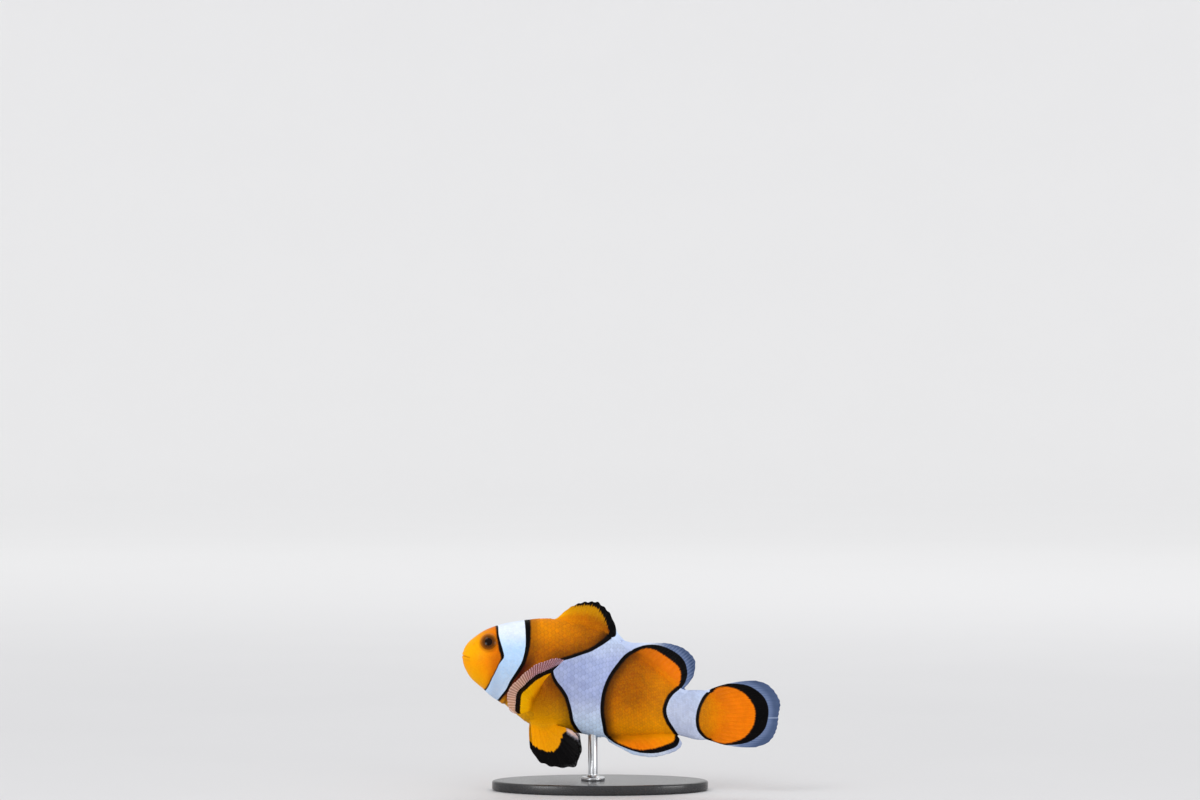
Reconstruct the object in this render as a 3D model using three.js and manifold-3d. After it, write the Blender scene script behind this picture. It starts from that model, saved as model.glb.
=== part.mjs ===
// A clownfish as a still, life-size museum model, held up by a flat base and one rod.
//
// Units are millimetres and +Z is up. The fish heads toward -Y and its left side faces +X. The
// origin is the centre of the underside of the base. A place on the fish is given as (u, n, z): u is
// the distance from the snout along the bent spine, n the distance out of the spine's plane toward
// the fish's left, and z the height above the surface that the base stands on.

import * as THREE from 'three';
import { mergeVertices } from 'three/addons/utils/BufferGeometryUtils.js';
import Module from 'manifold-3d';

const wasm = await Module();
wasm.setup();

// ---- Driving dimensions ----------------------------------------------------------------------

const SNOUT = { x: 2.7, y: -34.4, z: 33.5 };
const FLESH_LENGTH = 66; // snout to the end of the flesh inside the tail fin, along the spine
const SPINE_LENGTH = 84;
const SPINE_STEP = 0.25;
const GAP = 0.3; // between neighbouring solids

// Heading of the spine in plan, in degrees toward +X, at distances from the snout.
const HEADING = [[0, -8], [16, -6], [30, 0], [43, 11], [55, 20], [63, 18], [74, 8], [82, 2]];

// Height of the back and of the belly, and half the width of the body, at distances from the snout.
const BACK = [[0, 33.5], [0.3, 35.2], [1.3, 36.9], [3, 38.4], [6.5, 40.5], [12, 42.1], [20.8, 43],
  [24.6, 43], [29.6, 42.2], [34.6, 40.3], [39.6, 37.3], [44.6, 34], [49.8, 30.4], [53.7, 27.3],
  [57, 25.5], [60.2, 25.6], [63, 25.3], [66, 23.2]];
const BELLY = [[0, 33.5], [0.3, 31.6], [1, 29.9], [2, 28.3], [5, 25.6], [7.2, 23.6], [9.5, 22.2],
  [12, 20.4], [14.5, 18.2], [16.8, 16.5], [20.8, 15.2], [29.6, 14.1], [35.8, 13], [44.6, 13.3],
  [54, 14.1], [60.2, 13.1], [63, 13.4], [66, 15.4]];
const HALF_WIDTH = [[0, 0], [0.3, 1.5], [1, 2.6], [2, 3.6], [4, 4.8], [7, 5.6], [11, 6.05],
  [16, 6.2], [24, 6.25], [30, 6.1], [38, 5.3], [46, 4], [52, 3], [56, 2.4], [60, 1.9], [63, 1.4],
  [66, 0.35]];

// A section of the body is an oval whose widest place lies at WIDEST of its height. An exponent
// under 1 makes it squarer, as on the forehead, and one over 1 draws it in toward a ridge.
const WIDEST = 0.52;
const UPPER_SHAPE = [[0, 1], [3, 0.8], [7, 0.72], [12, 0.85], [18, 1.15], [30, 1.3], [45, 1.2],
  [56, 0.95], [66, 1]];
const LOWER_SHAPE = [[0, 1], [3, 0.85], [8, 0.85], [14, 1], [20, 1.05], [30, 1.15], [45, 1.2],
  [56, 0.95], [66, 1]];
const BODY_AROUND = 32;
const BODY_ALONG = 34;
const SNOUT_CROWDING = 1.5; // how much closer the rings lie at the snout

// The rear edge of the gill covers is an arc that parts the head from the trunk.
const GILL_ARC = { y: -49.8, z: 41, radius: 32, sides: 72 };
const TAIL_CUT = 56.5; // the narrowest place of the tail stalk, from the snout
const CUTTER = 80;

const EYE = { u: 6.42, z: 37.3, radius: 2.25, depth: 1.3, sunk: 0.7, yaw: 12, roll: 12 };
const EYE_AROUND = 18;
const EYE_ALONG = 10;

const FIN_ROOT = 1; // how far a fin's base starts inside the body
const MEDIAN_THICK = { root: 1.5, rim: 0.55 };
const PAIRED_THICK = { root: 1.4, rim: 0.55 };
const TAIL_THICK = { root: 1.6, rim: 0.55 };

const BASE = { length: 54, width: 26, height: 2.5, chamfer: 0.5, sides: 56 };
const ROD = { y: -1.75, radius: 1.2, top: 17, flange: 3, flangeHeight: 0.8, fillet: 0.8, sides: 20 };

// ---- Colours ---------------------------------------------------------------------------------

const COLOURS = {
  orange: 0xe88206, face: 0xf79a0a, white: 0xdfe2f2, fin: 0xe8860a, tail: 0xf08a10,
  eye: 0x1a0f08, black: 0x101012, steel: 0xc4c6c8,
};

function finish(colour, roughness = 0.5, metalness = 0) {
  return new THREE.MeshStandardMaterial({ color: colour, roughness, metalness });
}

// ---- Curves ----------------------------------------------------------------------------------

// A smooth curve through [place, value] keys that never swings past them.
function curve(keys) {
  const place = keys.map((key) => key[0]);
  const value = keys.map((key) => key[1]);
  const last = keys.length - 1;
  const width = place.slice(1).map((p, i) => p - place[i]);
  const rise = value.slice(1).map((v, i) => (v - value[i]) / width[i]);
  const slope = value.map((_, i) => {
    if (i === 0) return rise[0];
    if (i === last) return rise[last - 1];
    if (rise[i - 1] * rise[i] <= 0) return 0;
    const before = 2 * width[i] + width[i - 1];
    const after = width[i] + 2 * width[i - 1];
    return (before + after) / (before / rise[i - 1] + after / rise[i]);
  });
  return (at) => {
    const t = Math.min(Math.max(at, place[0]), place[last]);
    let i = 0;
    while (i < last - 1 && t > place[i + 1]) i += 1;
    const s = (t - place[i]) / width[i];
    const r = 1 - s;
    return value[i] * (1 + 2 * s) * r * r + slope[i] * width[i] * s * r * r
      + value[i + 1] * s * s * (3 - 2 * s) - slope[i + 1] * width[i] * s * s * r;
  };
}

// The same, but round at its start, as the snout is.
function bluntCurve(keys) {
  const f = curve(keys.map(([at, value]) => [Math.sqrt(at), value]));
  return (at) => f(Math.sqrt(Math.max(at, 0)));
}

// Several values together, from keys of [place, value, value, ...].
function curves(keys) {
  const parts = keys[0].slice(1).map((_, i) => curve(keys.map((key) => [key[0], key[i + 1]])));
  return (at) => parts.map((f) => f(at));
}

const heading = curve(HEADING);
const back = bluntCurve(BACK);
const belly = bluntCurve(BELLY);
const halfWidth = bluntCurve(HALF_WIDTH);
const upperShape = curve(UPPER_SHAPE);
const lowerShape = curve(LOWER_SHAPE);

// ---- The bent spine --------------------------------------------------------------------------

const spine = [{ x: SNOUT.x, y: SNOUT.y }];
for (let i = 0; i * SPINE_STEP < SPINE_LENGTH; i += 1) {
  const angle = THREE.MathUtils.degToRad(heading((i + 0.5) * SPINE_STEP));
  const from = spine[i];
  spine.push({
    x: from.x + Math.sin(angle) * SPINE_STEP,
    y: from.y + Math.cos(angle) * SPINE_STEP,
  });
}

function place(u, n, z) {
  const at = Math.min(Math.max(u / SPINE_STEP, 0), spine.length - 1.001);
  const i = Math.floor(at);
  const angle = THREE.MathUtils.degToRad(heading(u));
  const x = THREE.MathUtils.lerp(spine[i].x, spine[i + 1].x, at - i);
  const y = THREE.MathUtils.lerp(spine[i].y, spine[i + 1].y, at - i);
  return new THREE.Vector3(x + n * Math.cos(angle), y - n * Math.sin(angle), z);
}

// ---- The body's form -------------------------------------------------------------------------

function bodyPoint(u, around, grow) {
  const top = back(u) + grow;
  const bottom = belly(u) - grow;
  const middle = bottom + WIDEST * (top - bottom);
  const across = Math.cos(around);
  const up = Math.sin(around);
  const shape = up > 0 ? upperShape(u) : lowerShape(u);
  const n = (halfWidth(u) + grow) * Math.sign(across) * Math.abs(across) ** shape;
  const z = middle + up * (up > 0 ? top - middle : middle - bottom);
  return { n, z };
}

// Half the body's width at one height.
function sideAt(u, z) {
  const top = back(u);
  const bottom = belly(u);
  const middle = bottom + WIDEST * (top - bottom);
  const up = (z - middle) / (z > middle ? top - middle : middle - bottom);
  const across = Math.sqrt(Math.max(1 - up * up, 0));
  return halfWidth(u) * across ** (up > 0 ? upperShape(u) : lowerShape(u));
}

// ---- Solids ----------------------------------------------------------------------------------

// Moves each vertex of a closed three.js geometry, merges the copies at its seams and makes its
// faces point outward.
function reshape(geometry, move) {
  const { position, uv } = geometry.attributes;
  for (let i = 0; i < position.count; i += 1) {
    const from = new THREE.Vector3().fromBufferAttribute(position, i);
    const to = move(from, uv.getX(i), uv.getY(i));
    position.setXYZ(i, to.x, to.y, to.z);
  }
  geometry.deleteAttribute('normal');
  geometry.deleteAttribute('uv');
  const merged = mergeVertices(geometry, 1e-4);
  const index = [];
  let volume = 0;
  const [a, b, c] = [new THREE.Vector3(), new THREE.Vector3(), new THREE.Vector3()];
  for (let i = 0; i < merged.index.count; i += 3) {
    const corners = [0, 1, 2].map((k) => merged.index.getX(i + k));
    if (new Set(corners).size < 3) continue;
    [a, b, c].forEach((v, k) => v.fromBufferAttribute(merged.attributes.position, corners[k]));
    volume += a.dot(b.cross(c));
    index.push(corners);
  }
  merged.setIndex(index.flatMap((t) => (volume < 0 ? [t[0], t[2], t[1]] : t)));
  return merged;
}

function toSolid(geometry) {
  return new wasm.Manifold(new wasm.Mesh({
    numProp: 3,
    vertProperties: new Float32Array(geometry.attributes.position.array),
    triVerts: new Uint32Array(geometry.index.array),
  }));
}

function toGeometry(solid) {
  const mesh = solid.getMesh();
  const geometry = new THREE.BufferGeometry();
  geometry.setAttribute('position', new THREE.BufferAttribute(mesh.vertProperties, 3));
  geometry.setIndex(new THREE.BufferAttribute(mesh.triVerts, 1));
  geometry.computeVertexNormals();
  return geometry;
}

// The largest separate body of a cut solid, without crumbs that the cut left.
function largest(solid) {
  const bodies = solid.decompose().sort((a, b) => b.volume() - a.volume());
  return bodies[0];
}

function bodySolid(grow) {
  const length = FLESH_LENGTH + grow;
  return toSolid(reshape(new THREE.SphereGeometry(1, BODY_AROUND, BODY_ALONG), (from, s, t) => {
    const along = 1 - t;
    const ring = Math.min(along * BODY_ALONG / (BODY_ALONG - 1), 1);
    if (along === 0) return place(-grow, 0, SNOUT.z);
    if (t === 0) return place(length, 0, (back(FLESH_LENGTH) + belly(FLESH_LENGTH)) / 2);
    const u = FLESH_LENGTH * ring ** SNOUT_CROWDING;
    const { n, z } = bodyPoint(u, s * 2 * Math.PI, grow);
    return place(u < FLESH_LENGTH ? u : length, n, z);
  }));
}

// A thin closed sheet. centre(a, b) gives its middle surface, with a from the fin's first ray to its
// last and b from the root to the rim, and it is thick at the root and thin at the rim.
function finSolid(centre, rays, rings, thick) {
  const step = 0.01;
  const middle = (a, b) => place(...centre(a, b));
  return toSolid(reshape(new THREE.BoxGeometry(1, 1, 1, rays, rings, 1), (from) => {
    const a = from.x + 0.5;
    const b = from.y + 0.5;
    const [a0, a1] = [Math.max(a - step, 0), Math.min(a + step, 1)];
    const [b0, b1] = [Math.max(b - step, 0), Math.min(b + step, 1)];
    const across = middle(a1, b).sub(middle(a0, b));
    const outward = middle(a, b1).sub(middle(a, b0));
    const normal = across.cross(outward).normalize();
    const half = THREE.MathUtils.lerp(thick.root, thick.rim, Math.sqrt(b)) / 2;
    return middle(a, b).addScaledVector(normal, half * 2 * from.z);
  }));
}

// A fin in the fish's middle plane: straight rays from a root line to the outline, which keys of
// [a, u, z] give. bow lifts the middle of the first and last rays outward.
function medianFin({ root, outline, bow = 0 }) {
  const rootAt = curves(root);
  const rimAt = curves(outline);
  return (a, b) => {
    const [u0, z0] = rootAt(a);
    const [u1, z1] = rimAt(a);
    const lift = bow * (1 - 2 * a) * 4 * b * (1 - b);
    return [THREE.MathUtils.lerp(u0, u1, b), 0, THREE.MathUtils.lerp(z0, z1, b) + lift];
  };
}

// A fin of one side: curved rays from a root line through a middle line to the outline, each given
// by keys of [a, u, n, z] for the left side. b = 0.5 lies on the middle line.
function pairedFin({ root, middle, outline, side }) {
  const [rootAt, middleAt, rimAt] = [root, middle, outline].map(curves);
  return (a, b) => {
    const [from, through, to] = [rootAt(a), middleAt(a), rimAt(a)];
    const point = from.map((value, i) => value * (1 - b) * (1 - 2 * b)
      + through[i] * 4 * b * (1 - b) + to[i] * b * (2 * b - 1));
    return [point[0], side * point[1], point[2]];
  };
}

// A root line along the back or the belly, just inside the body.
function rootLine(from, to, line, sink, points = 8) {
  return Array.from({ length: points + 1 }, (_, i) => {
    const u = THREE.MathUtils.lerp(from, to, i / points);
    return [i / points, u, line(u) + sink];
  });
}

// ---- Fins ------------------------------------------------------------------------------------

const SPINY_DORSAL = {
  root: rootLine(22.6, 38.4, back, -FIN_ROOT),
  outline: [[0, 24.1, 43.2], [0.1, 25.6, 44.6], [0.24, 28, 46.2], [0.4, 30.8, 47.1],
    [0.56, 33.5, 47.2], [0.7, 35.7, 45.8], [0.82, 37.3, 43.9], [0.91, 38.4, 41.2],
    [0.97, 39.1, 39.2], [1, 39.9, 38]],
};

const SOFT_DORSAL = {
  root: rootLine(39.2, 55.4, back, -FIN_ROOT),
  outline: [[0, 40.4, 37.6], [0.1, 43.2, 36.9], [0.25, 47, 37], [0.4, 50.9, 37],
    [0.55, 54.7, 36.3], [0.7, 57.8, 34.5], [0.82, 59.1, 32.2], [0.92, 58.6, 29.2], [1, 57.1, 26.8]],
};

const ANAL = {
  root: rootLine(35.6, 53.4, belly, FIN_ROOT),
  outline: [[0, 36.6, 12.1], [0.12, 39.6, 10.6], [0.28, 43.6, 8.8], [0.45, 47.6, 8.4],
    [0.62, 51.4, 9.2], [0.78, 54.3, 10.4], [0.9, 55.6, 12], [1, 54.9, 13.3]],
};

const CAUDAL = {
  root: [[0, 59.4, 24.4], [0.25, 62.6, 22.4], [0.5, 63.6, 19.4], [0.75, 62.6, 16.5], [1, 59.4, 14.2]],
  outline: [[0, 74.4, 28.2], [0.09, 76.8, 27.5], [0.22, 79.3, 25.2], [0.36, 80.5, 22.4],
    [0.5, 80.1, 19.9], [0.64, 79.8, 17.2], [0.78, 79, 14.8], [0.9, 77.2, 12.7], [1, 74.4, 11.7]],
  bow: 0.9,
};

// Pectoral fin, spread sideways and swung forward, with its upper rays curling back.
const PECTORAL = {
  root: [[0, 19.6, 4.9, 26.4], [0.5, 18.4, 4.5, 23.4], [1, 17, 3.4, 20.6]],
  middle: [[0, 20, 12.8, 28.9], [0.25, 18.4, 13.1, 28.2], [0.5, 16.2, 13.2, 26.6],
    [0.75, 14.4, 12, 24.2], [1, 14.7, 8.8, 20.1]],
  outline: [[0, 25, 17.2, 33.7], [0.12, 22.7, 19.5, 34.6], [0.28, 18.4, 20.8, 33.6],
    [0.45, 14.6, 21.2, 31.7], [0.62, 11.5, 20.6, 28.9], [0.78, 9.6, 18.8, 25.5],
    [0.9, 9.8, 16.9, 22.6], [0.96, 10.7, 15.5, 21.2], [1, 12.1, 13.9, 20.6]],
};

// Pelvic fin, hanging below the throat and splayed outward.
const PELVIC = {
  root: [[0, 17, 1.2, 18], [0.5, 19.4, 1.5, 17.2], [1, 22, 1.5, 16.6]],
  middle: [[0, 17.1, 4.3, 14], [0.5, 21.6, 4.8, 12.3], [1, 25.1, 3.9, 16.2]],
  outline: [[0, 17.5, 6.6, 9.9], [0.12, 18.6, 7.2, 8], [0.28, 20.8, 7.6, 7],
    [0.45, 23.8, 7.8, 6.4], [0.6, 27.1, 7.8, 6.3], [0.74, 29.2, 7.4, 7.5], [0.86, 29.6, 6.8, 10.5],
    [0.94, 29.3, 6, 13.4], [1, 27.6, 5.2, 15.3]],
};

// The right pelvic fin is swung a little further back and down than the left one.
const PELVIC_RIGHT_SWING = { u: 0.5, z: -0.6 };

function swing(fin, { u, z }) {
  const shift = (keys, share) => keys.map((key) => [
    key[0], key[1] + u * share * key[0], key[2], key[3] + z * share * key[0],
  ]);
  return { root: fin.root, middle: shift(fin.middle, 0.45), outline: shift(fin.outline, 1) };
}

// ---- Assembly --------------------------------------------------------------------------------

const fish = new THREE.Group();

function add(name, geometry, material) {
  const mesh = new THREE.Mesh(geometry, material);
  mesh.name = name;
  fish.add(mesh);
  return mesh;
}

function gillCutter(radius) {
  const { y, z, sides } = GILL_ARC;
  const turned = new THREE.CylinderGeometry(radius, radius, CUTTER, sides).rotateZ(Math.PI / 2);
  return toSolid(reshape(turned.translate(0, y, z), (from) => from));
}

function tailCutter(from) {
  const block = new THREE.BoxGeometry(CUTTER, CUTTER, CUTTER).translate(0, CUTTER / 2, 0);
  block.rotateZ(-THREE.MathUtils.degToRad(heading(from)));
  const at = place(from, 0, SNOUT.z);
  return toSolid(reshape(block.translate(at.x, at.y, at.z), (p) => p));
}

// An eye is a flattened ball whose flat axis points out of the head, slightly forward and up.
function eyeSolid(side, grow) {
  const { u, z, radius, depth, sunk, yaw, roll } = EYE;
  const ball = new THREE.SphereGeometry(1, EYE_AROUND, EYE_ALONG).rotateZ(Math.PI / 2);
  ball.scale(depth + grow, radius + grow, radius + grow);
  ball.rotateY(-side * THREE.MathUtils.degToRad(roll));
  ball.rotateZ(-THREE.MathUtils.degToRad(side * yaw + heading(u)));
  const at = place(u, side * (sideAt(u, z) - sunk), z);
  return reshape(ball.translate(at.x, at.y, at.z), (from) => from);
}

function rodGeometry(radius, bottom, top) {
  const { sides, y } = ROD;
  const points = [[0, bottom], [radius, bottom], [radius, top], [0, top]];
  const outline = points.map(([r, z]) => new THREE.Vector2(r, z));
  const bar = new THREE.LatheGeometry(outline, sides).rotateX(Math.PI / 2);
  return reshape(bar.translate(0, y, 0), (from) => from);
}

const flesh = bodySolid(0);
const clearance = bodySolid(GAP + 0.05);
const rodSocket = toSolid(rodGeometry(ROD.radius + GAP, 0, ROD.top + GAP));
const sockets = [1, -1].map((side) => toSolid(eyeSolid(side, GAP)));

const head = sockets.reduce((solid, socket) => solid.subtract(socket),
  flesh.intersect(gillCutter(GILL_ARC.radius)));
const trunk = flesh.subtract(gillCutter(GILL_ARC.radius + GAP))
  .subtract(tailCutter(TAIL_CUT)).subtract(rodSocket);
const tailStalk = flesh.intersect(tailCutter(TAIL_CUT + GAP));

add('head', toGeometry(largest(head)), finish(COLOURS.face));
add('trunk', toGeometry(largest(trunk)), finish(COLOURS.orange));
add('tail_stalk', toGeometry(largest(tailStalk)), finish(COLOURS.white));
add('eye_left', eyeSolid(1, 0), finish(COLOURS.eye, 0.1));
add('eye_right', eyeSolid(-1, 0), finish(COLOURS.eye, 0.1));

function addFin(name, centre, rays, rings, thick, colour) {
  const sheet = finSolid(centre, rays, rings, thick).subtract(clearance);
  add(name, toGeometry(largest(sheet)), finish(colour));
}

addFin('fin_dorsal_spiny', medianFin(SPINY_DORSAL), 18, 4, MEDIAN_THICK, COLOURS.fin);
addFin('fin_dorsal_soft', medianFin(SOFT_DORSAL), 18, 5, MEDIAN_THICK, COLOURS.fin);
addFin('fin_anal', medianFin(ANAL), 18, 4, MEDIAN_THICK, COLOURS.fin);
addFin('fin_caudal', medianFin(CAUDAL), 22, 7, TAIL_THICK, COLOURS.tail);
addFin('fin_pectoral_left', pairedFin({ ...PECTORAL, side: 1 }), 18, 8, PAIRED_THICK, COLOURS.fin);
addFin('fin_pectoral_right', pairedFin({ ...PECTORAL, side: -1 }), 18, 8, PAIRED_THICK,
  COLOURS.fin);
addFin('fin_pelvic_left', pairedFin({ ...PELVIC, side: 1 }), 14, 6, PAIRED_THICK, COLOURS.fin);
addFin('fin_pelvic_right', pairedFin({ ...swing(PELVIC, PELVIC_RIGHT_SWING), side: -1 }), 14, 6,
  PAIRED_THICK, COLOURS.fin);

// The stand: an oval base with chamfered edges, and a rod with a foot that goes into the belly.
function baseGeometry() {
  const { length, width, height, chamfer, sides } = BASE;
  const half = width / 2;
  const points = [[0, 0], [half - chamfer, 0], [half, chamfer], [half, height - chamfer],
    [half - chamfer, height], [0, height]];
  const outline = points.map(([r, z]) => new THREE.Vector2(r, z));
  const disc = new THREE.LatheGeometry(outline, sides).rotateX(Math.PI / 2);
  return reshape(disc.scale(1, length / width, 1), (from) => from);
}

function rodWithFoot() {
  const { radius, top, flange, flangeHeight, fillet, sides, y } = ROD;
  const floor = BASE.height;
  const points = [[0, floor], [flange, floor], [flange, floor + flangeHeight],
    [radius + fillet, floor + flangeHeight], [radius, floor + flangeHeight + fillet],
    [radius, top], [0, top]];
  const outline = points.map(([r, z]) => new THREE.Vector2(r, z));
  const bar = new THREE.LatheGeometry(outline, sides).rotateX(Math.PI / 2);
  return reshape(bar.translate(0, y, 0), (from) => from);
}

add('stand_base', baseGeometry(), finish(COLOURS.black, 0.3));
add('stand_rod', rodWithFoot(), finish(COLOURS.steel, 0.3, 1));

export default fish;
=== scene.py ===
"""A clownfish as a still, life-size museum model: every visible surface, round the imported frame.

Lengths are millimetres until a mesh is made. The fish heads toward -Y and its left side faces +X.
A place on the fish is (u, n, z): u is the distance from the snout along the bent spine, n the
distance out of the spine's plane toward the fish's left, and z the height above the floor.
"""

import math

import bpy
import numpy as np
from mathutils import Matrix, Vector
from mathutils.kdtree import KDTree


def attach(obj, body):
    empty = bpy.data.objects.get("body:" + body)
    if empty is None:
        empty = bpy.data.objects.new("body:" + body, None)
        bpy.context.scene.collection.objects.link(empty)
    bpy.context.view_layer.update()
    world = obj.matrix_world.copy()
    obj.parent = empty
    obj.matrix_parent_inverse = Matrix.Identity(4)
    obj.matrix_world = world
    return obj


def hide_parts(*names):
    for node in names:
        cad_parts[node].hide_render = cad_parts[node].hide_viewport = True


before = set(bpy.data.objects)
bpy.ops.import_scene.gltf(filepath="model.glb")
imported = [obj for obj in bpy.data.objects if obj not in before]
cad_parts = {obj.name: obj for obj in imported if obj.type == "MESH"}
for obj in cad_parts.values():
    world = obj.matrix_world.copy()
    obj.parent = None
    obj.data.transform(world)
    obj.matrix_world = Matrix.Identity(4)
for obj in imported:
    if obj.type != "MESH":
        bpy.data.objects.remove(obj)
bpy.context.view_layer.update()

METRE = 0.001  # one millimetre in metres

# ---- Driving dimensions, the same as the solids' ----------------------------------------------

SNOUT = (2.7, -34.4, 33.5)
FLESH_LENGTH = 66
SPINE_LENGTH = 84
SPINE_STEP = 0.25

HEADING = [(0, -8), (16, -6), (30, 0), (43, 11), (55, 20), (63, 18), (74, 8), (82, 2)]

BACK = [
    (0, 33.5), (0.3, 35.2), (1.3, 36.9), (3, 38.4), (6.5, 40.5), (12, 42.1), (20.8, 43),
    (24.6, 43), (29.6, 42.2), (34.6, 40.3), (39.6, 37.3), (44.6, 34), (49.8, 30.4), (53.7, 27.3),
    (57, 25.5), (60.2, 25.6), (63, 25.3), (66, 23.2),
]
BELLY = [
    (0, 33.5), (0.3, 31.6), (1, 29.9), (2, 28.3), (5, 25.6), (7.2, 23.6), (9.5, 22.2), (12, 20.4),
    (14.5, 18.2), (16.8, 16.5), (20.8, 15.2), (29.6, 14.1), (35.8, 13), (44.6, 13.3), (54, 14.1),
    (60.2, 13.1), (63, 13.4), (66, 15.4),
]
HALF_WIDTH = [
    (0, 0), (0.3, 1.5), (1, 2.6), (2, 3.6), (4, 4.8), (7, 5.6), (11, 6.05), (16, 6.2), (24, 6.25),
    (30, 6.1), (38, 5.3), (46, 4), (52, 3), (56, 2.4), (60, 1.9), (63, 1.4), (66, 0.35),
]
WIDEST = 0.52  # how far up a section its widest place lies
UPPER_SHAPE = [
    (0, 1), (3, 0.8), (7, 0.72), (12, 0.85), (18, 1.15), (30, 1.3), (45, 1.2), (56, 0.95), (66, 1),
]
LOWER_SHAPE = [
    (0, 1), (3, 0.85), (8, 0.85), (14, 1), (20, 1.05), (30, 1.15), (45, 1.2), (56, 0.95), (66, 1),
]

GILL_ARC = {"y": -49.8, "z": 41, "radius": 32}
EYE = {"u": 6.42, "z": 37.3, "radius": 2.25, "depth": 1.3, "sunk": 0.7, "yaw": 12, "roll": 12}
FIN_ROOT = 1  # how far a fin's base starts inside the body

BASE = {"length": 54, "width": 26, "height": 2.5, "chamfer": 0.5}
ROD = {"y": -1.75, "radius": 1.2, "top": 17, "flange": 3, "flange_height": 0.8, "fillet": 0.8}

SKIN_DEPTH = 0.13  # the skin lies this far inside the solids, and the scales fill the depth

# ---- Curves and the bent spine ----------------------------------------------------------------


class Curve:
    """A smooth curve through (place, value, ...) keys that never swings past them."""

    def __init__(self, keys):
        keys = np.array(keys, float)
        self.place, self.value = keys[:, 0], keys[:, 1:]
        self.width = np.diff(self.place)
        rise = np.diff(self.value, axis=0) / self.width[:, None]
        before = (2 * self.width[1:] + self.width[:-1])[:, None]
        after = (self.width[1:] + 2 * self.width[:-1])[:, None]
        same_way = rise[:-1] * rise[1:] > 0
        first = np.where(same_way, rise[:-1], 1)
        second = np.where(same_way, rise[1:], 1)
        mean = (before + after) / (before / first + after / second)
        self.slope = np.vstack([rise[:1], np.where(same_way, mean, 0), rise[-1:]])

    def __call__(self, at):
        t = np.clip(np.asarray(at, float), self.place[0], self.place[-1])
        i = np.clip(np.searchsorted(self.place, t, side="right") - 1, 0, len(self.width) - 1)
        width = self.width[i][..., None]
        s = (t - self.place[i])[..., None] / width
        r = 1 - s
        out = self.value[i] * (1 + 2 * s) * r * r + self.slope[i] * width * s * r * r
        out = out + self.value[i + 1] * s * s * (3 - 2 * s) - self.slope[i + 1] * width * s * s * r
        return out[..., 0] if out.shape[-1] == 1 else out


class BluntCurve(Curve):
    """The same, but round at its start, as the snout is."""

    def __init__(self, keys):
        super().__init__([(math.sqrt(at), value) for at, value in keys])

    def __call__(self, at):
        return super().__call__(np.sqrt(np.maximum(at, 0)))


def smooth(value, low, high):
    """0 below low, 1 above high, and an even S between them."""
    t = np.clip((np.asarray(value, float) - low) / (high - low), 0, 1)
    return t * t * (3 - 2 * t)


def fade(value, low, high):
    """1 below low, 0 above high."""
    return 1 - smooth(value, low, high)


def within(value, low, risen, falling, high):
    """1 from risen to falling, 0 below low and above high."""
    return smooth(value, low, risen) * fade(value, falling, high)


def bump_at(distance, width):
    """1 at no distance, and next to nothing beyond twice the width."""
    return np.exp(-((distance / width) ** 2))


def lerp(a, b, t):
    """A share t of the way from a to b."""
    return a + (b - a) * t


def in_cell(grid, i, j, s, t):
    """The value of a grid at the shares s and t of the way through its cell i, j."""
    low = lerp(grid[i, j], grid[i, j + 1], t)
    high = lerp(grid[i + 1, j], grid[i + 1, j + 1], t)
    return lerp(low, high, s)


def unit(vectors):
    """The same directions, with a length of 1."""
    return vectors / np.maximum(np.linalg.norm(vectors, axis=-1, keepdims=True), 1e-12)


heading = Curve(HEADING)
back = BluntCurve(BACK)
belly = BluntCurve(BELLY)
half_width = BluntCurve(HALF_WIDTH)
upper_shape = Curve(UPPER_SHAPE)
lower_shape = Curve(LOWER_SHAPE)

SPINE_U = np.arange(0, SPINE_LENGTH + SPINE_STEP / 2, SPINE_STEP)
spine_turn = np.radians(heading(SPINE_U[:-1] + SPINE_STEP / 2))
SPINE_X = SNOUT[0] + np.concatenate([[0], np.cumsum(np.sin(spine_turn))]) * SPINE_STEP
SPINE_Y = SNOUT[1] + np.concatenate([[0], np.cumsum(np.cos(spine_turn))]) * SPINE_STEP


def place(u, n, z):
    """The point in space of a place on the fish."""
    turn = np.radians(heading(u))
    x = np.interp(u, SPINE_U, SPINE_X) + n * np.cos(turn)
    y = np.interp(u, SPINE_U, SPINE_Y) - n * np.sin(turn)
    return np.stack(np.broadcast_arrays(x, y, z), axis=-1)


# ---- The body's form --------------------------------------------------------------------------


def section(u, around):
    """(n, z) of the body's surface at an angle round the section, 90 degrees at the back."""
    top, bottom = back(u), belly(u)
    middle = bottom + WIDEST * (top - bottom)
    across, up = np.cos(around), np.sin(around)
    shape = np.where(up > 0, upper_shape(u), lower_shape(u))
    n = half_width(u) * np.sign(across) * np.abs(across) ** shape
    z = middle + up * np.where(up > 0, top - middle, middle - bottom)
    return n, z


def side_at(u, z):
    """Half the body's width at one height."""
    top, bottom = back(u), belly(u)
    middle = bottom + WIDEST * (top - bottom)
    up = (z - middle) / np.where(z > middle, top - middle, middle - bottom)
    across = np.sqrt(np.maximum(1 - up * up, 0))
    return half_width(u) * across ** np.where(z > middle, upper_shape(u), lower_shape(u))


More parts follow.
